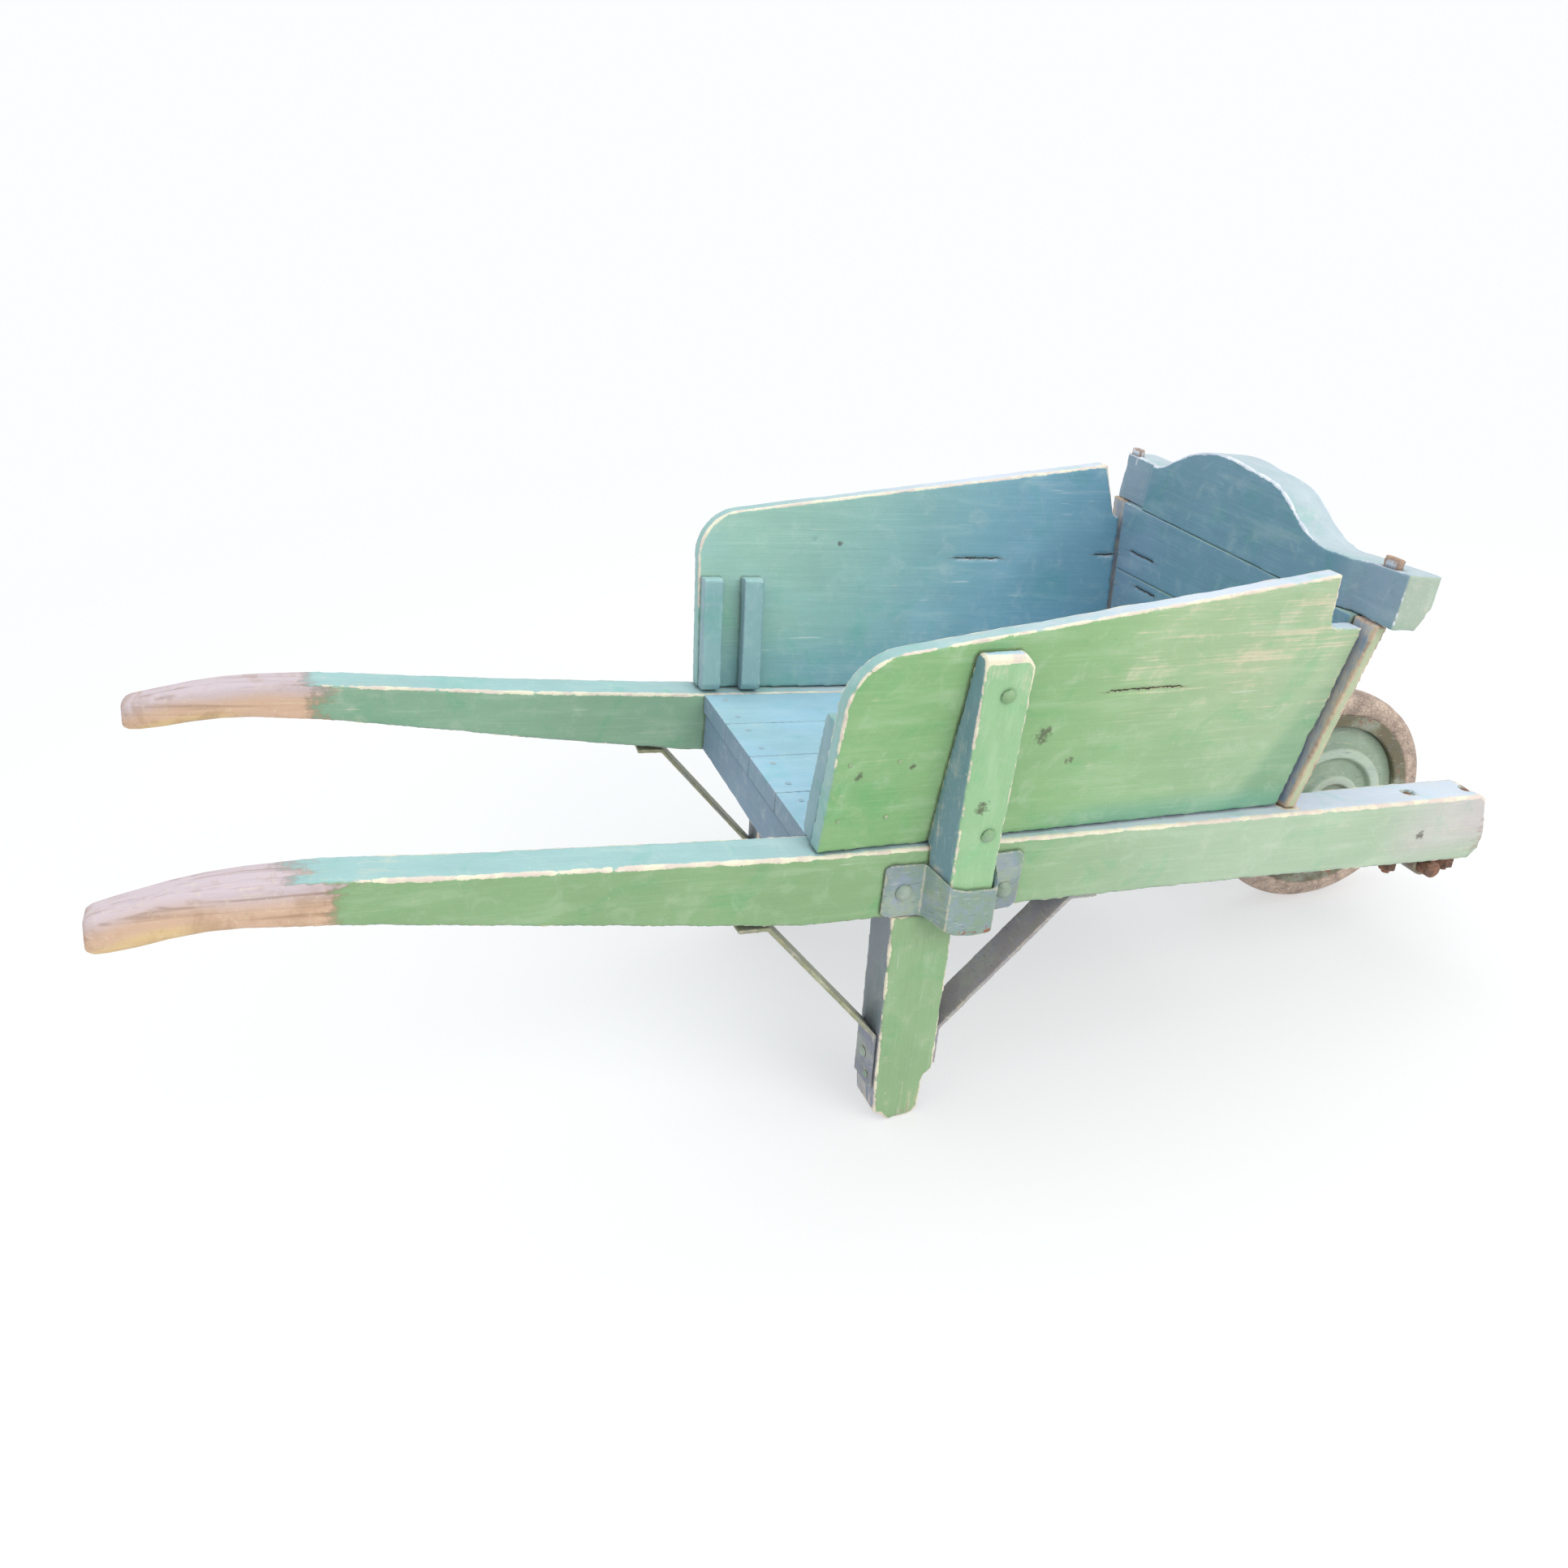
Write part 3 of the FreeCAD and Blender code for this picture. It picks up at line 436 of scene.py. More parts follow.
def worn_arris(s, maps, colour, arris_width, rubbed_edge):
    """Bare wood along the arrises, from the distance to the arris and noise; gives its mask too."""
    arris = s.value("arris")
    reach = s.between(s.noise(maps.place, 60.0, 5.0, 0.7), -0.75, 2.1)
    reach = s.plus(reach, s.times(maps.wear, 0.5))
    reach = s.times(s.plus(reach, s.times(s.value("rim"), 0.9)), arris_width)
    edge = s.step(s.minus(reach, arris), -0.25, 0.45)
    core = s.step(s.minus(s.times(reach, 0.5), arris), -0.2, 0.3)
    colour = s.over(colour, edge, 0.90, maps.bare_edge)
    return s.over(colour, core, 0.30, rubbed_edge), edge


def chips_and_scratches(s, maps, colour, specks):
    """Small chips in the paint, and pale scratches."""
    chips = s.step(s.plus(maps.dots, s.times(maps.wear, 0.07)), 0.70, 0.74)
    colour = s.over(colour, chips, specks, maps.bare_edge)
    scratch = s.noise(s.stretched(maps.grain, 14.0, 210.0, 210.0), 1.0, 2.0, 0.5)
    return s.over(colour, s.step(scratch, 0.72, 0.78), 0.3, CHALK)


def bare_wood(s, maps, colour):
    """Wood where hands or weather took all paint, with a ragged dark border; gives its mask too."""
    wood = s.over(s.colour("timber"), s.step(maps.fibres, 0.50, 0.30), 0.45, BROWN)
    wood = s.over(wood, s.step(maps.tint, 0.50, 0.66), 0.40, s.mix(0.6, TAN_WOOD, BROWN))
    wood = s.over(wood, s.step(maps.blotch, 0.56, 0.72), 0.35, s.mix(0.5, TAN_WOOD, BROWN))
    wood = s.over(wood, s.step(maps.dots, 0.56, 0.70), 0.30, CREAM)
    wood = s.over(wood, s.step(maps.threads, 0.55, 0.75), 0.30, CREAM)
    ragged = s.plus(s.value("bare"), s.about(maps.fibres, 0.7))
    ragged = s.plus(ragged, s.about(maps.blotch, 0.5))
    ragged = s.plus(ragged, s.about(maps.dots, 0.5))
    naked = s.step(ragged, 0.36, 0.64)
    border = s.times(s.step(ragged, 0.30, 0.48), s.step(ragged, 0.72, 0.52))
    return s.over(s.mix(naked, colour, wood), border, 0.35, BROWN), naked


def dirt_shade_and_marks(s, maps, colour):
    """Dirt and painted shade where pieces meet, scuffs, and the dark marks that the mesh holds."""
    # Darkening near other pieces: grime and painted shade between parts.
    dirt_and_shade = s.step(s.plus(s.value("contact"), s.times(maps.blotch, 4.0)), 4.4, 2.0)
    colour = s.over(colour, dirt_and_shade, 0.45, DIRT_AND_SHADE)
    scuff = s.step(s.noise(maps.place, 24.0, 6.0, 0.75, 1.0), 0.70, 0.80)
    colour = s.over(colour, scuff, 0.28, DIRT_AND_SHADE)
    mark = s.plus(s.value("mark"), s.about(maps.dots, 2.2))
    return s.over(colour, s.step(mark, 0.45, 1.0), 0.75, DIRT_AND_SHADE)


def drying_cracks(s, maps, colour):
    """The cracks that the mesh holds, in millimetres along and across; gives their mask too."""
    split = s.add("SeparateXYZ", {0: s.vector("split")}).outputs
    wander = s.about(s.noise(maps.place, 130.0, 4.0, 0.7), 6.0)
    offset = s.math("ABSOLUTE", s.plus(split[1], wander))
    offset = s.plus(offset, s.times(split[0], 0.12))
    gape = s.step(offset, 0.95, 0.25)
    colour = s.over(colour, s.step(offset, 3.0, 0.8), 0.35, BROWN)
    return s.mix(gape, colour, CRACK_DARK), gape


def painted_wood(name, arris_width=2.2, streaks=0.5, specks=0.5, edges=CREAM_EDGES):
    """Old paint over wood. The paint's colour with its painted light and shade, how worn it is and how bare
    come from the mesh.
    """
    s = Shade(name)
    maps = WoodMaps(s, edges)
    rubbed = thin_paint(s, maps, streaks)
    colour = s.mix(rubbed, old_paint(s, maps), BEIGE)
    colour, edge = worn_arris(s, maps, colour, arris_width, edges[0])
    colour = chips_and_scratches(s, maps, colour, specks)
    colour, naked = bare_wood(s, maps, colour)
    colour, gape = drying_cracks(s, maps, dirt_shade_and_marks(s, maps, colour))
    rough = s.plus(s.between(maps.brush, 0.46, 0.66), s.times(naked, 0.14))
    height = s.plus(s.times(maps.fibres, 0.45), s.times(maps.threads, 0.25))
    height = s.plus(height, s.times(maps.grit, 0.15))
    for mask, depth in ((edge, 0.25), (rubbed, 0.10), (gape, 2.0)):
        height = s.minus(height, s.times(mask, depth))
    return s.finish(colour, rough, height, 0.0007)


def painted_iron(name, arris_width=1.6, rust=0.5, variety=1.0):
    """Old paint over iron: rust breaks through at the edges and in spots."""
    s = Shade(name)
    place = s.vector("place")
    paint = s.colour("paint")
    blotch = s.noise(place, 70.0, 5.0, 0.68, 0.6)
    grit = s.noise(place, 600.0, 3.0, 0.6)
    patches = s.noise(place, 22.0, 4.0, 0.6)
    hue = s.noise(place, 48.0, 4.0, 0.7, 0.8)
    scratch = s.noise(s.stretched(place, 60.0, 60.0, 420.0), 1.0, 3.0, 0.65, 0.5)
    light = s.times(s.between(patches, 0.80, 1.20), s.between(grit, 0.9, 1.1))
    colour = s.mix(1.0, paint, s.grey(light), "MULTIPLY")
    colour = s.over(colour, s.step(patches, 0.48, 0.66), 0.5, IRON_PALE)
    colour = s.over(colour, s.step(hue, 0.46, 0.68), 0.50 * variety, IRON_BLUE)
    colour = s.over(colour, s.step(hue, 0.50, 0.30), 0.45 * variety, IRON_OLIVE)
    colour = s.over(colour, s.step(scratch, 0.60, 0.70), 0.40, IRON_CHALK)
    colour = s.over(colour, s.step(scratch, 0.40, 0.30), 0.40, IRON_DARK)
    reach = s.times(s.between(s.noise(place, 120.0, 4.0, 0.7), -0.8, 2.4), arris_width)
    edge = s.step(s.minus(reach, s.value("arris")), -0.2, 0.4)
    colour = s.over(colour, edge, 0.6, s.mix(0.65, paint, BEIGE))
    iron = s.mix(s.step(blotch, 0.40, 0.62), DARK_RUST, RUST)
    iron = s.over(iron, s.step(grit, 0.5, 0.7), 0.35, LIGHT_RUST)
    eaten = s.plus(blotch, s.times(s.value("wear"), 0.25))
    through = s.step(eaten, 0.76 - 0.2 * rust, 0.84 - 0.2 * rust)
    rough = s.plus(s.between(patches, 0.45, 0.62), s.times(through, 0.2))
    height = s.plus(s.times(blotch, 0.5), s.times(grit, 0.3))
    return s.finish(s.mix(through, colour, iron), rough, height, 0.0005, 0.4)


def dusty_rubber(name):
    """Hard old rubber, dusty, with fine cracks."""
    s = Shade(name)
    place = s.vector("place")
    blotch = s.noise(place, 45.0, 5.0, 0.7, 0.4)
    grit = s.noise(place, 500.0, 4.0, 0.7)
    cells = s.add("TexVoronoi", {"Vector": place, "Scale": 190.0}, feature="DISTANCE_TO_EDGE")
    cracks = s.step(cells.outputs["Distance"], 0.05, 0.0)
    colour = s.mix(s.step(blotch, 0.35, 0.65), RUBBER_DARK, RUBBER_PALE)
    colour = s.over(colour, s.step(grit, 0.5, 0.66), 0.5, DUST)
    colour = s.over(colour, cracks, 0.30, RUBBER_CRACK)
    height = s.minus(s.times(grit, 0.5), s.times(cracks, 0.6))
    return s.finish(colour, s.between(blotch, 0.74, 0.92), height, 0.0006, 0.25)


MATERIALS = {
    "shaft": painted_wood("shaft_paint", 2.6, 0.55, 0.5),
    "board": painted_wood("board_paint", 2.2, 0.95, 0.4),
    "floor": painted_wood("floor_paint", 0.9, 0.4, 0.3, LILAC_EDGES),
    "plank": painted_wood("plank_paint", 1.2, 0.4, 0.3, LILAC_EDGES),
    "beam": painted_wood("beam_paint", 2.2, 0.4, 0.4, LILAC_EDGES),
    "small": painted_wood("stake_paint", 2.4, 0.5, 0.5),
    "cleat": painted_wood("cleat_paint", 1.0, 0.4, 0.4, LILAC_EDGES),
    "upright": painted_wood("upright_paint", 3.8, 0.6, 0.6, BROWN_EDGES),
    "rail": painted_wood("rail_paint", 2.4, 0.7, 0.6),
    "iron": painted_iron("strap_paint", 1.8, 0.25),
    "brace": painted_iron("brace_paint", 1.6, 0.20, 0.6),
    "bolt": painted_iron("bolt_iron", 1.0, 0.35, 0.3),
    "raw": painted_iron("rusty_iron", 0.6, 1.6, 0.0),
    "wheel": painted_iron("wheel_paint", 1.0, 0.05, 0.2),
    "rim": painted_iron("rim_paint", 0.8, 0.35, 0.2),
    "tyre": dusty_rubber("tyre_rubber"),
}

# ---------------------------------------------------------------- what each piece looks like

GREEN = linear((134, 172, 122))
DEEP_GREEN = linear((112, 160, 104))
SHAFT_GREEN = linear((130, 163, 119))
INNER_GREEN = linear((130, 165, 141))
STAKE_GREEN = linear((144, 183, 140))
LEG_GREEN = linear((136, 166, 125))
UPRIGHT_GREEN = linear((172, 182, 150))
BOLT_GREEN = linear((128, 164, 118))
POCKET_GREEN = linear((128, 152, 138))
SHADE_GREEN = linear((92, 142, 112))
PALE_GREEN = linear((161, 176, 161))
SAGE = linear((164, 185, 160))
OLIVE = linear((140, 142, 112))
OLIVE_YELLOW = linear((160, 158, 120))
LOW_TEAL = linear((104, 160, 140))
CLEAT_TEAL = linear((134, 169, 171))
TURQUOISE = linear((148, 184, 183))
GREEN_BLUE = linear((146, 184, 170))
BLUE = linear((110, 154, 175))
LOW_BLUE = linear((112, 158, 172))
SKY = linear((158, 196, 213))
PALE_SKY = linear((198, 208, 220))
STAKE_SKY = PALE_SKY * (0.88, 0.97, 1.08)
BEAM_SKY = linear((169, 184, 191))
SLATE = linear((111, 147, 163))
LEFT_SLATE = linear((138, 158, 184))
BLUE_GREY = linear((131, 154, 170))
FLOOR_GREY = linear((118, 142, 160))
RAIL_GREY = linear((114, 138, 158))
UPRIGHT_GREY = linear((142, 156, 176))
STAKE_GREY = linear((109, 141, 150))
POCKET_GREY = linear((128, 138, 146))
PLATE_GREY = linear((124, 128, 138))
LEG_GREY = linear((134, 142, 150))
BRACE_GREY = linear((156, 150, 152))
GREY = linear((124, 130, 133))
VIOLET_GREY = linear((116, 126, 152))
NOSE_LILAC = linear((194, 184, 188))
STREAK_BEIGE = linear((196, 194, 164))
GRIP_TAN = linear((204, 172, 148))
GRIP_LILAC = linear((196, 182, 188))
GRIP_YELLOW = linear((214, 186, 132))
DISC_GREEN = linear((145, 164, 144))
DISC_PALE = linear((182, 198, 182))
DISC_DARK = linear((116, 132, 112))


def blend(a, b, t):
    """Colour between a and b; t is one number or one for each vertex."""
    t = np.asarray(t)[..., None]
    return np.asarray(a) * (1 - t) + np.asarray(b) * t


def wood(lilac):
    """Bare wood between tan and weathered lilac-grey."""
    return blend(TAN_WOOD, LILAC_WOOD, lilac)


class Surface:
    """Where a piece's vertices lie, in level coordinates, and how far each faces each way, 0 to 1."""

    def __init__(self, mesh, seed):
        points = points_of(mesh)
        self.place = level(points)
        self.x, self.y, self.z = self.place.T
        normal = normals_of(mesh) @ TURN.T
        sideways = normal[:, 1] * np.sign(self.y)
        self.up = ramp(normal[:, 2], 0.45, 0.75)
        self.down = ramp(-normal[:, 2], 0.45, 0.75)
        self.rear = ramp(-normal[:, 0], 0.5, 0.8)
        self.ahead = ramp(normal[:, 0], 0.5, 0.8)
        self.outward = ramp(sideways, 0.5, 0.8)
        self.inward = ramp(-sideways, 0.2, 0.6)
        self.slow = noise_at(points, 11, seed + 5)


# Each function below gives, for a surface: paint, how worn it is, how bare it is, and the bare wood's colour.
# The paint holds painted light and shade: faces turned up take paler sky tones, faces turned to the rear or
# down greyer, bluer shade tones.

GRIP_PLACES = (0.48, 0.56, 0.60, 0.63, 0.66, 0.69, 0.71)     # behind the floor's rear edge
GRIP_TOPS = (0.022, 0.023, 0.0214, 0.0168, 0.011, 0.0048, -0.001)
GRIP_HEIGHT = 0.044
PAINT_END = 0.472                                            # the grips are bare from here to the rear


def shaft_looks(at):
    x, z, slow, up = at.x, at.z, at.slow, at.up
    paint = blend(SHAFT_GREEN, SAGE, ramp(x, 0.10, 0.55))
    # Painted light and shade: inner faces a bluer green, the top pale sky tones where light falls on it, the
    # underside grey as shade.
    paint = blend(paint, INNER_GREEN, ramp(-at.outward, -0.5, 0.0) * 0.9)
    paint = blend(paint, blend(TURQUOISE, PALE_SKY, ramp(x, -0.20, 0.50)), up)
    paint = blend(paint, GREY, 0.7 * at.down)
    right = ramp(-at.y, -0.05, 0.05)
    edge_of_paint = PAINT_END + up * (0.008 + 0.035 * right)
    grip = ramp(0.05 * slow - x - edge_of_paint, -0.045, 0.045)
    worn = ramp(x + 0.06 * slow, 0.68, 0.84) * (1 - at.down)
    paint = blend(paint, NOSE_LILAC, 0.85 * worn * (1 - up) * ramp(z + 0.02 * slow, -0.080, -0.040))
    nose = 0.44 * ramp(x + 0.02 * slow, 0.80, 0.86) * (1 - at.down)
    wear = 0.12 + 0.30 * ramp(x, 0.3, 0.8) + 0.06 * up + 0.35 * ramp(-x, 0.32, 0.45)
    # Painted light and shade on the bare grips: paler lilac-grey towards the lit top, tan lower down and
    # yellow at the bottom of the rear part.
    height = (z - np.interp(-x, GRIP_PLACES, GRIP_TOPS)) / GRIP_HEIGHT + 1 + 0.25 * slow
    lilac = np.maximum(ramp(height, 0.35, 0.90), 0.8 * ramp(x, 0, 0.5))
    timber = blend(GRIP_TAN, GRIP_LILAC, lilac)
    timber = blend(timber, GRIP_YELLOW, 0.7 * ramp(-height, -0.30, -0.05) * ramp(-x, 0.56, 0.62))
    return paint, wear, np.maximum(grip, nose), timber


def board_looks(at):
    x, z, slow, outward = at.x, at.z, at.slow, at.outward
    # Painted light and shade: the inner face takes blue sky tones and the outer face green, and the top and
    # rear end take pale sky tones.
    outer = blend(GREEN, SAGE, ramp(x, 0.20, 0.55) * 0.5)
    outer = blend(outer, DEEP_GREEN, ramp(-np.abs(x - 0.05), -0.10, -0.02) * 0.35)
    outer = blend(outer, SHADE_GREEN, 0.45 * ramp(x - 0.42 * z, 0.470, 0.500))
    inner = blend(GREEN_BLUE, BLUE, ramp(x - 0.35 * z, 0.0, 0.45))
    inner = blend(inner, SKY, 0.25 * ramp(slow, 0.1, 0.6))
    inner = blend(inner, LOW_BLUE, 0.5 * ramp(-z, -0.09, -0.02))
    edge = blend(TURQUOISE, PALE_SKY, ramp(x, 0, 0.4)) * 0.92
    paint = blend(blend(inner, outer, outward), edge, np.maximum(at.up, 0.8 * at.rear))
    # Painted shade: a darker teal band low on the outer face towards the front.
    paint = blend(paint, LOW_TEAL, 0.6 * ramp(x, 0.20, 0.35) * ramp(-z, -0.040, -0.010) * outward)
    streaked = ramp(x, 0.20, 0.40) * ramp(z, 0.05, 0.20) * outward * (0.75 + 0.5 * slow)
    wear = 0.08 + 0.62 * streaked + 0.10 * at.up + 0.15 * ramp(slow, 0.0, 0.5) * (1 - outward)
    return blend(paint, STREAK_BEIGE, 0.25 * streaked), wear, 0, wood(0.5)


def stake_looks(at):
    # Painted light and shade: rear and inner faces grey-blue shade, outer and front faces green, the top a
    # pale sky tone.
    paint = blend(STAKE_GREY, STAKE_GREEN, np.maximum(at.outward, 0.5 * at.ahead))
    paint = blend(paint, STAKE_SKY, at.up)
    wear = 0.20 + 0.35 * ramp(at.z, 0.14, 0.22) * at.outward + 0.25 * at.rear
    return paint, wear, 0.22 * ramp(at.z, 0.200, 0.222) * at.outward, wood(0.3)


def leg_looks(at):
    foot = ramp(-at.z, 0.22, 0.34)
    # Painted shade: rear and inner faces grey, the outer face green.
    paint = blend(LEG_GREY, LEG_GREEN, np.maximum(at.outward, 0.35 * at.ahead))
    paint = blend(paint, VIOLET_GREY, 0.7 * foot * (1 - at.outward))
    return paint, 0.12 + 0.45 * foot + 0.2 * at.rear, 0.42 * ramp(-at.z, 0.27, 0.36), wood(0.6)


def floor_looks(at):
    # Painted light and shade: the top a sky tone, the other faces grey.
    paint = blend(blend(GREY, FLOOR_GREY, at.rear), SKY, at.up)
    paint = blend(paint, TURQUOISE, 0.4 * ramp(at.slow, 0.0, 0.6) * at.up)
    return paint, 0.10 + 0.2 * ramp(-at.x, -0.012, 0.0), 0, wood(0.6)


def rail_looks(at):
    # Painted shade: rear faces a bluer grey.
    return blend(GREY, RAIL_GREY, at.rear), 0.30, 0, wood(0.5)


def head_looks(at):
    # Painted shade: mostly slate blue-grey, fully on the faces turned to the rear, sage on the others.
    paint = blend(SAGE, SLATE, np.maximum(at.rear, 0.4))
    paint = blend(paint, LEFT_SLATE, 0.45 * ramp(at.y, 0.08, 0.17))
    return paint, 0.12 + 0.2 * ramp(at.slow, 0.1, 0.6), 0, wood(0.5)


def beam_looks(at):
    end = np.abs(at.y)
    paint = blend(blend(SLATE, BLUE_GREY, ramp(end, 0.17, 0.20)), SLATE * 1.05, at.ahead)
    # Painted light: the top a pale sky tone, and the outer end faces pale green where light falls on them.
    paint = blend(paint, BEAM_SKY, at.up)
    paint = blend(paint, PALE_GREEN, at.outward * ramp(end, 0.20, 0.22))
    return paint, 0.15 + 0.15 * at.up + 0.25 * at.outward, 0, wood(0.6)


def upright_looks(at):
    top = ramp(at.z, 0.285, 0.30)
    right = ramp(-at.y, 0.0, 0.1)
    # Painted light and shade: rear faces grey-blue shade, the outer face green, the top pale sky.
    paint = blend(blend(UPRIGHT_GREY, UPRIGHT_GREEN, at.outward), PALE_SKY, top)
    return paint, 0.45 + 0.3 * at.rear, 0.6 * top * right, wood(0.3)


def cleat_looks(at):
    # Painted light and shade: the top turquoise, faces turned to the rear or front blue-grey.
    paint = blend(CLEAT_TEAL, TURQUOISE, at.up)
    paint = blend(paint, BLUE_GREY, 0.5 * np.maximum(at.rear, at.ahead))
    return paint, 0.20 + 0.2 * at.up, 0, wood(0.5)


def plain_looks(paint, wear):
    """Looks of a piece of one paint."""
    return lambda at: (linear(paint), wear, 0, TAN_WOOD)


def board_bolt_looks(at):
    """Bolts and nails through a side board: each end is painted with the face it shows in, its painted light
    and shade included.
    """
    return blend(BOLT_GREEN, blend(GREEN_BLUE, BLUE, 0.35), at.inward), 0.10, 0, TAN_WOOD


def pocket_looks(at):
    paint = blend(POCKET_GREEN, POCKET_GREY, ramp(at.slow, -0.2, 0.5))
    return paint, 0.15 + 0.8 * ramp(-at.z, 0.068, 0.090), 0, TAN_WOOD


def brace_looks(at):
    forward = ramp(at.x, 0.10, 0.14)
    # Painted light and shade: the rear brace olive as its lit edge, the front brace grey as its shaded broad
    # face, its foot plate grey like the leg's shaded rear.
    paint = blend(OLIVE, BRACE_GREY, forward)
    paint = blend(paint, PLATE_GREY, ramp(-at.z, 0.21, 0.24) * (1 - forward))
    paint = blend(paint, OLIVE_YELLOW, ramp(at.slow, 0.25, 0.5) * 0.7)
    return paint, 0.15 + 0.2 * ramp(-at.z, 0.18, 0.28), 0, TAN_WOOD


def disc_looks(at):
    centre = level(np.array([AXLE]))[0]
    radius = np.hypot(at.x - centre[0], at.z - centre[2])
    inner_ring = ramp(-np.abs(radius - 0.035), -0.007, -0.003)
    outer_ring = ramp(-np.abs(radius - 0.070), -0.008, -0.004)
    # Painted highlight: the raised rings are painted paler where they catch the light.
    paint = blend(DISC_GREEN, DISC_PALE, np.maximum(inner_ring, outer_ring))
    paint = blend(paint, DISC_DARK, ramp(radius, 0.088, 0.100) * 0.7)
    return paint, 0.15 + 0.25 * ramp(radius, 0.08, 0.1), 0, TAN_WOOD


# kind of piece: looks, material, voxel size, rounding of the arrises, dents, ridges, chips
WOOD = {
    "shaft": (shaft_looks, "shaft", WOOD_VOXEL, 4, 0.0005, 0.0003, 0.0022),
    "leg": (leg_looks, "shaft", WOOD_VOXEL, 4, 0.0005, 0.0003, 0.0026),
    "side_board": (board_looks, "board", WOOD_VOXEL, 3, 0.0006, 0.0003, 0.0018),
    "stake": (stake_looks, "small", SLIM_VOXEL, 4, 0.0004, 0.0002, 0.0018),
    "cleat": (cleat_looks, "cleat", CLEAT_VOXEL, 3, 0.0004, 0.0002, 0.0016),
    "upright": (upright_looks, "upright", SLIM_VOXEL, 3, 0.0004, 0.0002, 0.0015),
    "plank": (head_looks, "plank", FLUSH_VOXEL, 1, 0.0002, 0.0003, 0.0),
    "crest_beam": (beam_looks, "beam", FLUSH_VOXEL, 8, 0.0006, 0.0003, 0.0024),
    "floor_board": (floor_looks, "floor", FLUSH_VOXEL, 1, 0.0002, 0.0002, 0.0),
    "cross_rail": (rail_looks, "rail", WOOD_VOXEL, 3, 0.0005, 0.0004, 0.0018),
}
PAINTED_BOLT = plain_looks((130, 150, 136), 0.3)
RUSTY = plain_looks((118, 96, 80), 1.0)
CLAMP = plain_looks((130, 118, 104), 0.6)
# Nail heads take the tones of the faces they sit in: the painted light of the floor's top, the painted shade
# of the headboard.
FLOOR_NAIL = plain_looks((150, 182, 198), 0.1)
HEADBOARD_NAIL = plain_looks((106, 138, 154), 0.1)
RIM = plain_looks((104, 98, 76), 0.35)
IRON = {
    "stake_pocket": (pocket_looks, "iron", IRON_VOXEL, 3, 0.0003, 0.0, 0.0006),
    "front_brace": (brace_looks, "brace", IRON_VOXEL, 2, 0.0003, 0.0, 0.0004),
    "rear_brace": (brace_looks, "brace", IRON_VOXEL, 2, 0.0003, 0.0, 0.0004),
    "axle_clamp": (CLAMP, "brace", IRON_VOXEL, 2, 0.0002, 0.0, 0.0004),
    "brace_bolts": (PAINTED_BOLT, "bolt", BOLT_VOXEL, 1, 0.0002, 0.0, 0.0002),
    "pocket_bolts": (PAINTED_BOLT, "bolt", BOLT_VOXEL, 1, 0.0002, 0.0, 0.0002),
    "pocket_nuts": (PAINTED_BOLT, "bolt", BOLT_VOXEL, 1, 0.0002, 0.0, 0.0002),
    "stake_bolts": (board_bolt_looks, "bolt", BOLT_VOXEL, 1, 0.0002, 0.0, 0.0002),
    "clamp_bolts": (RUSTY, "raw", BOLT_VOXEL, 1, 0.0002, 0.0, 0.0002),
    "clamp_nuts": (RUSTY, "raw", BOLT_VOXEL, 1, 0.0002, 0.0, 0.0002),
    "cleat_nails": (board_bolt_looks, "bolt", NAIL_VOXEL, 1, 0.0, 0.0, 0.0),
    "floor_nails": (FLOOR_NAIL, "bolt", NAIL_VOXEL, 1, 0.0, 0.0, 0.0),
    "headboard_nails": (HEADBOARD_NAIL, "bolt", NAIL_VOXEL, 1, 0.0, 0.0, 0.0),
    "axle": (RUSTY, "raw", IRON_VOXEL, 1, 0.0001, 0.0, 0.0),
    "axle_washers": (RUSTY, "raw", BOLT_VOXEL, 1, 0.0, 0.0, 0.0),
    "axle_pins": (RUSTY, "raw", NAIL_VOXEL, 1, 0.0, 0.0, 0.0),
}


def kind_of(node):
    """The kind of a node: its name without side, place or number."""
    name = node.rstrip("_0123456789")
    return next((kind for kind in (*WOOD, *IRON) if name.endswith(kind)), None)


MARKS = [
    # level place and radius of each dark scuff
    ((0.2197, -0.2445, 0.1227), 0.012), ((0.2612, -0.2353, 0.0894), 0.006), ((0.081, -0.2496, 0.0984), 0.004),
    ((0.024, -0.2523, 0.0914), 0.006), ((0.150, -0.275, 0.060), 0.010), ((0.758, -0.207, -0.045), 0.007),
    ((0.1843, 0.2370, 0.1873), 0.005), ((0.7497, -0.182, 0.0), 0.011), ((0.8317, -0.182, 0.0), 0.011),
]


def marks_on(place):
    """How strongly each vertex lies in a dark scuff, 0 to 1."""
    mark = np.zeros(len(place))
    for spot, radius in MARKS:
        distance = np.linalg.norm(place - np.array(spot), axis=1)
        mark = np.maximum(mark, ramp(-distance, -1.6 * radius, -0.2 * radius))
    return mark


BOARD_TOP, BOARD_RISE = 0.2225, 0.129     # a side board's top: height at the rear, and slope
CORNER_DROP = 0.060                       # its rounded rear corner falls this far


def top_arris(height, top, reach):
    """1 at the top arris, 0 further below it than its reach."""
    return ramp(height, top - reach, top - 0.3 * reach)


def rim_of(kind, at):
    """1 along the arrises that hands and loads rub."""
    if kind == "side_board":
        corner = CORNER_DROP * ramp(-at.x, -0.045, 0.005)
        return top_arris(at.z, BOARD_TOP + BOARD_RISE * at.x - corner, 0.014 + corner.max())
    if kind == "shaft":
        return top_arris(at.z, 0.002, 0.014) * ramp(at.x, -0.46, -0.42)
    if kind == "stake":
        return 0.5 * ramp(at.z, 0.19, 0.21)
    if kind == "leg":
        return 0.35 + 0.4 * ramp(-at.z, 0.27, 0.34)
    if kind == "crest_beam":
        return 0.9 * ramp(at.z, 0.29, 0.30)
    return 0


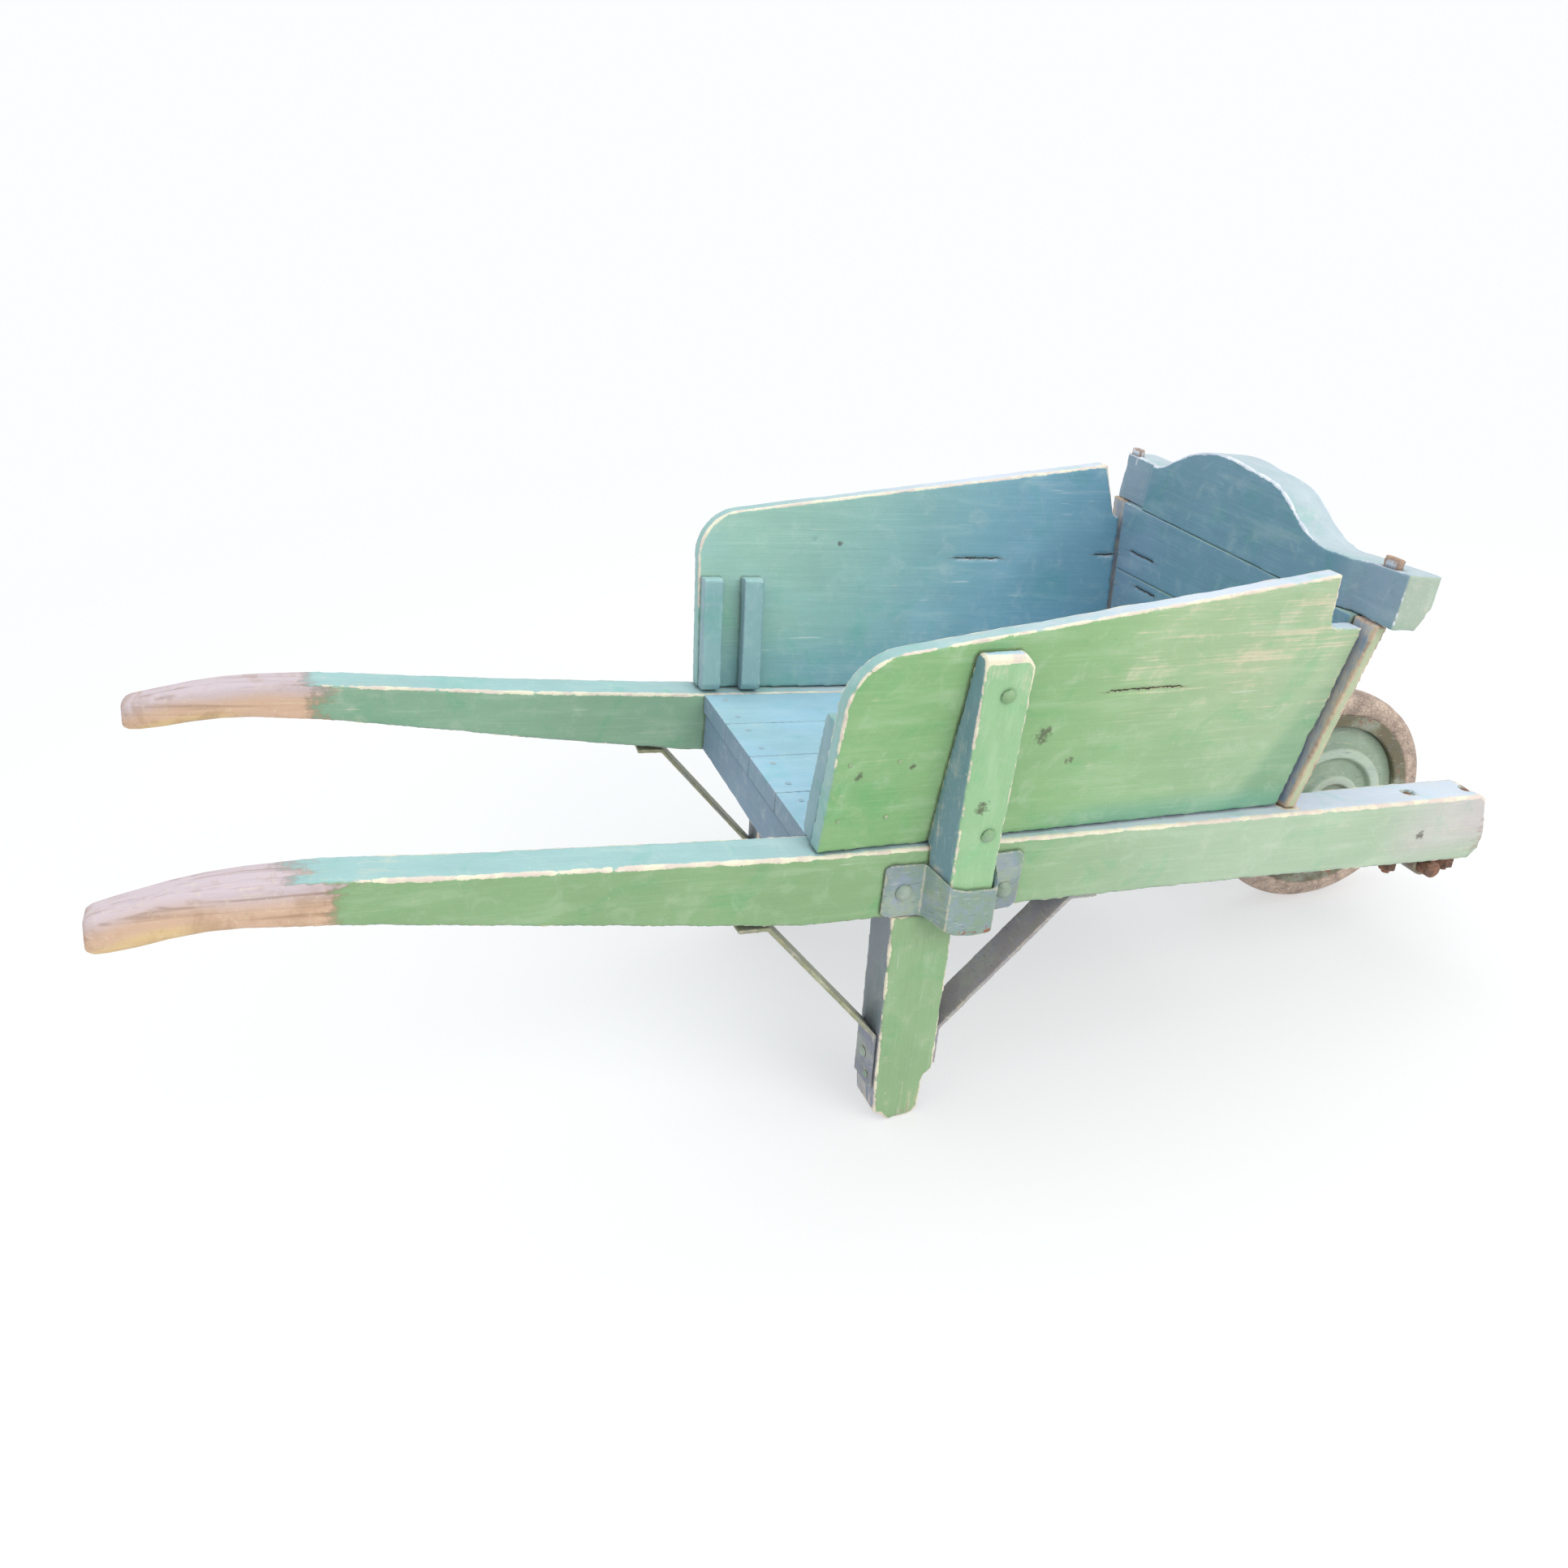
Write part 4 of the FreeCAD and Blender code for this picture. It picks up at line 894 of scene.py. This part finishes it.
def store_looks(mesh, node, looks, tree, axes, seed, split):
    """Stores what the materials read: places, grain, distances to arris and neighbour, paint and wear."""
    points = points_of(mesh)
    at = Surface(mesh, seed)
    one_each = len(points)
    others = others_tree(node)
    gaps = [others.find_nearest(p, CONTACT_REACH)[3] for p in points.tolist()]
    contact = [CONTACT_REACH if gap is None else gap for gap in gaps]
    paint, wear, bare, timber = looks(at)
    store(mesh, "place", "FLOAT_VECTOR", at.place)
    store(mesh, "grain", "FLOAT_VECTOR", points @ axes.T + (seed * 0.37, seed * 0.11, seed * 0.23))
    for name, colour in (("paint", paint), ("timber", timber)):
        opaque = np.ones((one_each, 4))
        opaque[:, :3] = colour
        store(mesh, name, "FLOAT_COLOR", opaque)
    singles = {
        "arris": np.minimum(nearest(tree, points), ARRIS_REACH) * MILLIMETRES,
        "contact": np.array(contact) * MILLIMETRES,
        "wear": wear,
        "bare": bare,
        "rim": rim_of(kind_of(node), at),
        "mark": marks_on(at.place),
    }
    for name, values in singles.items():
        store(mesh, name, "FLOAT", np.broadcast_to(values, one_each))
    past, aside = split
    store(mesh, "split", "FLOAT_VECTOR", np.stack([past, aside, 0 * past], 1) * MILLIMETRES)


def tree_of(names):
    """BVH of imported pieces."""
    vertices, faces = [], []
    for name in names:
        source = frame["nodes"][name]
        start = len(vertices)
        vertices += [v.co for v in source.data.vertices]
        faces += [[start + i for i in p.vertices] for p in source.data.polygons]
    return BVHTree.FromPolygons(vertices, faces)


FAMILIES = (("plank", "crest_beam"), ("floor_board",))


def siblings(node):
    """The pieces that were painted over together with this one."""
    for family in FAMILIES:
        if kind_of(node) in family:
            return [name for name in frame["nodes"] if name != node and kind_of(name) in family]
    return []


def others_tree(node):
    """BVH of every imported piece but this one, its siblings and the fixings."""
    passed = siblings(node) + [node]
    fixings = ("bolts", "nails", "nuts", "pins")
    return tree_of([name for name in frame["nodes"] if name not in passed and not name.endswith(fixings)])


CRACKS = {
    # start, end and the direction across each drying crack
    "right_side_board": [(row(0.286, -0.2492, 0.1695), row(0.366, -0.2433, 0.170), UP)],
    "left_side_board": [(row(0.345, 0.2225, 0.1705), row(0.402, 0.2187, 0.170), UP),
                        (row(0.545, 0.2095, 0.1755), row(0.566, 0.2086, 0.177), UP)],
    "headboard_upper_plank": [(row(0.573, 0.176, 0.191), row(0.573, 0.130, 0.188), UP)],
    "headboard_middle_plank": [(row(0.570, 0.147, 0.147), row(0.570, 0.110, 0.151), UP)],
    "right_shaft": [(row(0.853, -0.195, -0.030), row(0.853, -0.166, -0.034), UP)],
}


def weathered(node, seed):
    """Weathered copy of a packed wooden or iron piece."""
    kind = kind_of(node)
    looks, material, voxel, rounds, dents, ridges, chips = {**WOOD, **IRON}[kind]
    source = welded(node)
    family = siblings(node)
    tree = arris_tree(source, SHORTEST_ARRIS if kind in WOOD else 0.0, tree_of(family) if family else None)
    if family:
        seed = FAMILY_SEED
    plain = bpy.data.meshes.new(node)
    source.to_mesh(plain)
    source.free()
    axes = grain_axes(node, kind)
    mesh = voxelled(plain, voxel)
    points = points_of(mesh)
    worn = ramp(-nearest(tree, points), -2.2 * voxel, -0.3 * voxel)
    worn *= 0.45 + 0.45 * noise_at(points, 30, seed)
    soften(mesh, np.clip(worn, 0.1 if kind in WOOD else 0.0, 0.9), rounds)
    wear_down(mesh, tree, axes, seed, dents, ridges, chips)
    split = split_places(points_of(mesh), CRACKS.get(node, []))
    sink(mesh, CRACK_SINK * ramp(-np.hypot(*split), -0.004, -0.0005))
    store_looks(mesh, node, looks, tree, axes, seed, split)
    piece(node, mesh, MATERIALS[material])


# ---------------------------------------------------------------- the wheel, turned about the axle

def section(node):
    """Ordered outline of a turned piece: (radius, y) from the axle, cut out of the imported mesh."""
    mesh = bmesh.new()
    mesh.from_mesh(frame["nodes"][node].data)
    bmesh.ops.remove_doubles(mesh, verts=mesh.verts, dist=WELD)
    everything = list(mesh.verts) + list(mesh.edges) + list(mesh.faces)
    halved = bmesh.ops.bisect_plane(mesh, geom=everything, plane_co=AXLE, plane_no=(1, 0, 0), dist=1e-6)
    links = {}
    for edge in halved["geom_cut"]:
        if isinstance(edge, bmesh.types.BMEdge) and edge.verts[0].co.z > AXLE.z:
            a, b = edge.verts
            links.setdefault(a, []).append(b)
            links.setdefault(b, []).append(a)
    start = next(iter(links))
    loop, last, here = [start], None, start
    while True:
        following = [v for v in links[here] if v is not last]
        last, here = here, following[0]
        if here is start or len(loop) > len(links):
            break
        loop.append(here)
    outline = [(v.co.z - AXLE.z, v.co.y - AXLE.y) for v in loop]
    mesh.free()
    return outline


def refined(outline, step, rounds):
    """Outline with points at most a step apart and its corners rounded a little."""
    points = []
    for a, b in zip(outline, outline[1:] + outline[:1]):
        count = max(1, math.ceil(math.dist(a, b) / step))
        points += [(a[0] + (b[0] - a[0]) * i / count, a[1] + (b[1] - a[1]) * i / count) for i in range(count)]
    line = np.array(points)
    for _ in range(rounds):
        line = 0.5 * line + 0.25 * (np.roll(line, 1, 0) + np.roll(line, -1, 0))
    return line


def worn_round(points, chips, seed):
    """Points of a turned piece moved towards the axle, by chips and slow wear."""
    bite = np.clip(noise_at(points, 55, seed) - 0.1, 0, 1) * chips
    bite = bite + (0.5 + 0.5 * noise_at(points, 14, seed + 1)) * TYRE_DENTS
    inward = points - np.array(AXLE)
    inward[:, 1] = 0
    return points - inward / np.linalg.norm(inward, axis=1)[:, None] * bite[:, None]


def turned(node, material, looks, seed, step, rounds, turns, chips):
    """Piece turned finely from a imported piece's own section."""
    line = refined(section(node), step, rounds)
    count = len(line)
    radius = np.repeat(line[:, 0][None], turns, 0)
    across = np.repeat(line[:, 1][None], turns, 0)
    spin = np.repeat((np.arange(turns) * 2 * math.pi / turns)[:, None], count, 1)
    points = np.stack([AXLE.x + radius * np.cos(spin), AXLE.y + across, AXLE.z + radius * np.sin(spin)], 2)
    points = points.reshape(-1, 3)
    if chips:
        points = worn_round(points, chips, seed)
    faces = []
    for i in range(turns):
        here, there = i * count, (i + 1) % turns * count
        for k in range(count):
            after = (k + 1) % count
            faces.append((here + k, here + after, there + after, there + k))
    mesh = bpy.data.meshes.new(node)
    mesh.from_pydata(points.tolist(), [], faces)
    source = bmesh.new()
    source.from_mesh(mesh)
    bmesh.ops.recalc_face_normals(source, faces=source.faces)
    source.to_mesh(mesh)
    source.free()
    mesh.update()
    tree = arris_tree(welded(node))
    split = split_places(points_of(mesh), [])
    store_looks(mesh, node, looks, tree, np.eye(3), seed, split)
    piece(node, mesh, MATERIALS[material])


# piece, material, looks, longest step of its section, rounding of the corners, steps round, chips
WHEEL = [
    ("wheel_tyre", "tyre", RUSTY, 0.0030, 2, 240, 0.0012),
    ("wheel_rim", "rim", RIM, 0.0022, 1, 240, 0.0),
    ("right_wheel_disc", "wheel", disc_looks, 0.0022, 1, 192, 0.0),
    ("left_wheel_disc", "wheel", disc_looks, 0.0022, 1, 192, 0.0),
    ("wheel_hub", "raw", RUSTY, 0.0030, 1, 96, 0.0),
]


# ---------------------------------------------------------------- stage, light and camera

BACKGROUND = (0.97, 0.985, 1.0)
FLOOR_HALF = 14.0
FLOOR_GLOW_STARTS, FLOOR_GLOWS = 1.2, 3.2     # from the barrow, in metres
MIDDLE = (0, 0, 0.35)                         # of the barrow, where the lights aim


def stage_floor():
    """Pale studio floor; away from the barrow it turns into the background's own light."""
    mesh = bpy.data.meshes.new("studio_floor")
    corners = [(x * FLOOR_HALF, y * FLOOR_HALF, 0) for x, y in ((-1, -1), (1, -1), (1, 1), (-1, 1))]
    mesh.from_pydata(corners, [], [(0, 1, 2, 3)])
    floor = bpy.data.objects.new("studio_floor", mesh)
    bpy.context.scene.collection.objects.link(floor)
    s = Shade("studio_floor")
    s.skin.inputs["Base Color"].default_value = (0.86, 0.86, 0.86, 1)
    s.skin.inputs["Roughness"].default_value = 0.9
    s.skin.inputs["Specular IOR Level"].default_value = 0.1
    spot = s.add("TexCoord", {}).outputs["Object"]
    radius = s.add("VectorMath", {0: spot}, operation="LENGTH").outputs["Value"]
    glow = s.add("Emission", {"Color": BACKGROUND, "Strength": 1.0}).outputs[0]
    spread = s.between(s.step(radius, FLOOR_GLOW_STARTS, FLOOR_GLOWS), 0.50, 1.0)
    melt = s.add("MixShader", {0: spread, 1: s.skin.outputs[0], 2: glow}).outputs[0]
    s.tree.links.new(melt, s.tree.nodes["Material Output"].inputs["Surface"])
    mesh.materials.append(s.material)


def area_light(name, place, size, power, colour):
    """Round soft light aimed at the middle of the barrow."""
    data = bpy.data.lights.new(name, "AREA")
    data.shape = "DISK"
    data.size = size
    data.energy = power
    data.color = colour
    light = bpy.data.objects.new(name, data)
    light.location = place
    light.rotation_mode = "QUATERNION"
    light.rotation_quaternion = (Vector(MIDDLE) - Vector(place)).to_track_quat("-Z", "Y")
    bpy.context.scene.collection.objects.link(light)


def lighting():
    """Even white surroundings with a warm key light and a cool one above."""
    world = bpy.data.worlds.new("soft_sky")
    world.use_nodes = True
    sky = world.node_tree.nodes["Background"]
    sky.inputs["Color"].default_value = (*BACKGROUND, 1)
    sky.inputs["Strength"].default_value = 1.0
    bpy.context.scene.world = world
    area_light("key", (1.6, -3.0, 2.6), 2.6, 60, (1.0, 0.965, 0.90))
    area_light("top", (0.2, 0.4, 3.4), 3.0, 30, (0.88, 0.95, 1.0))


CAMERA_PLACE = (-0.4774, -1.3339, 0.6341)   # level coordinates
CAMERA_YAW, CAMERA_PITCH, CAMERA_ROLL = (math.radians(a) for a in (14.156, 20.740, 3.260))
CAMERA_LENS = 30.44
CAMERA_SHIFT = (0.0940, -0.0732)


def camera():
    """The view from behind and right: placed in level coordinates, then turned into the row frame."""
    flat = math.cos(CAMERA_PITCH)
    forward = Vector((math.sin(CAMERA_YAW) * flat, math.cos(CAMERA_YAW) * flat, -math.sin(CAMERA_PITCH)))
    right = Vector((math.cos(CAMERA_YAW), -math.sin(CAMERA_YAW), 0))
    above = right.cross(forward)
    turned_right = right * math.cos(CAMERA_ROLL) + above * math.sin(CAMERA_ROLL)
    turned_up = above * math.cos(CAMERA_ROLL) - right * math.sin(CAMERA_ROLL)
    columns = [AHEAD * v.x + LEFT * v.y + UP * v.z for v in (turned_right, turned_up, -forward)]
    data = bpy.data.cameras.new("camera")
    data.sensor_width = 36
    data.lens = CAMERA_LENS
    data.shift_x, data.shift_y = CAMERA_SHIFT
    data.clip_start = 0.01
    made = bpy.data.objects.new("camera", data)
    made.matrix_world = Matrix.Translation(row(*CAMERA_PLACE)) @ Matrix(columns).transposed().to_4x4()
    bpy.context.scene.collection.objects.link(made)
    bpy.context.scene.camera = made


bpy.context.scene.view_settings.view_transform = "Standard"
camera()
lighting()
stage_floor()
for number, name in enumerate(sorted(frame["nodes"])):
    if kind_of(name):
        weathered(name, number)
for number, (name, material, looks, step, rounds, turns, chips) in enumerate(WHEEL):
    turned(name, material, looks, WHEEL_SEED + number, step, rounds, turns, chips)
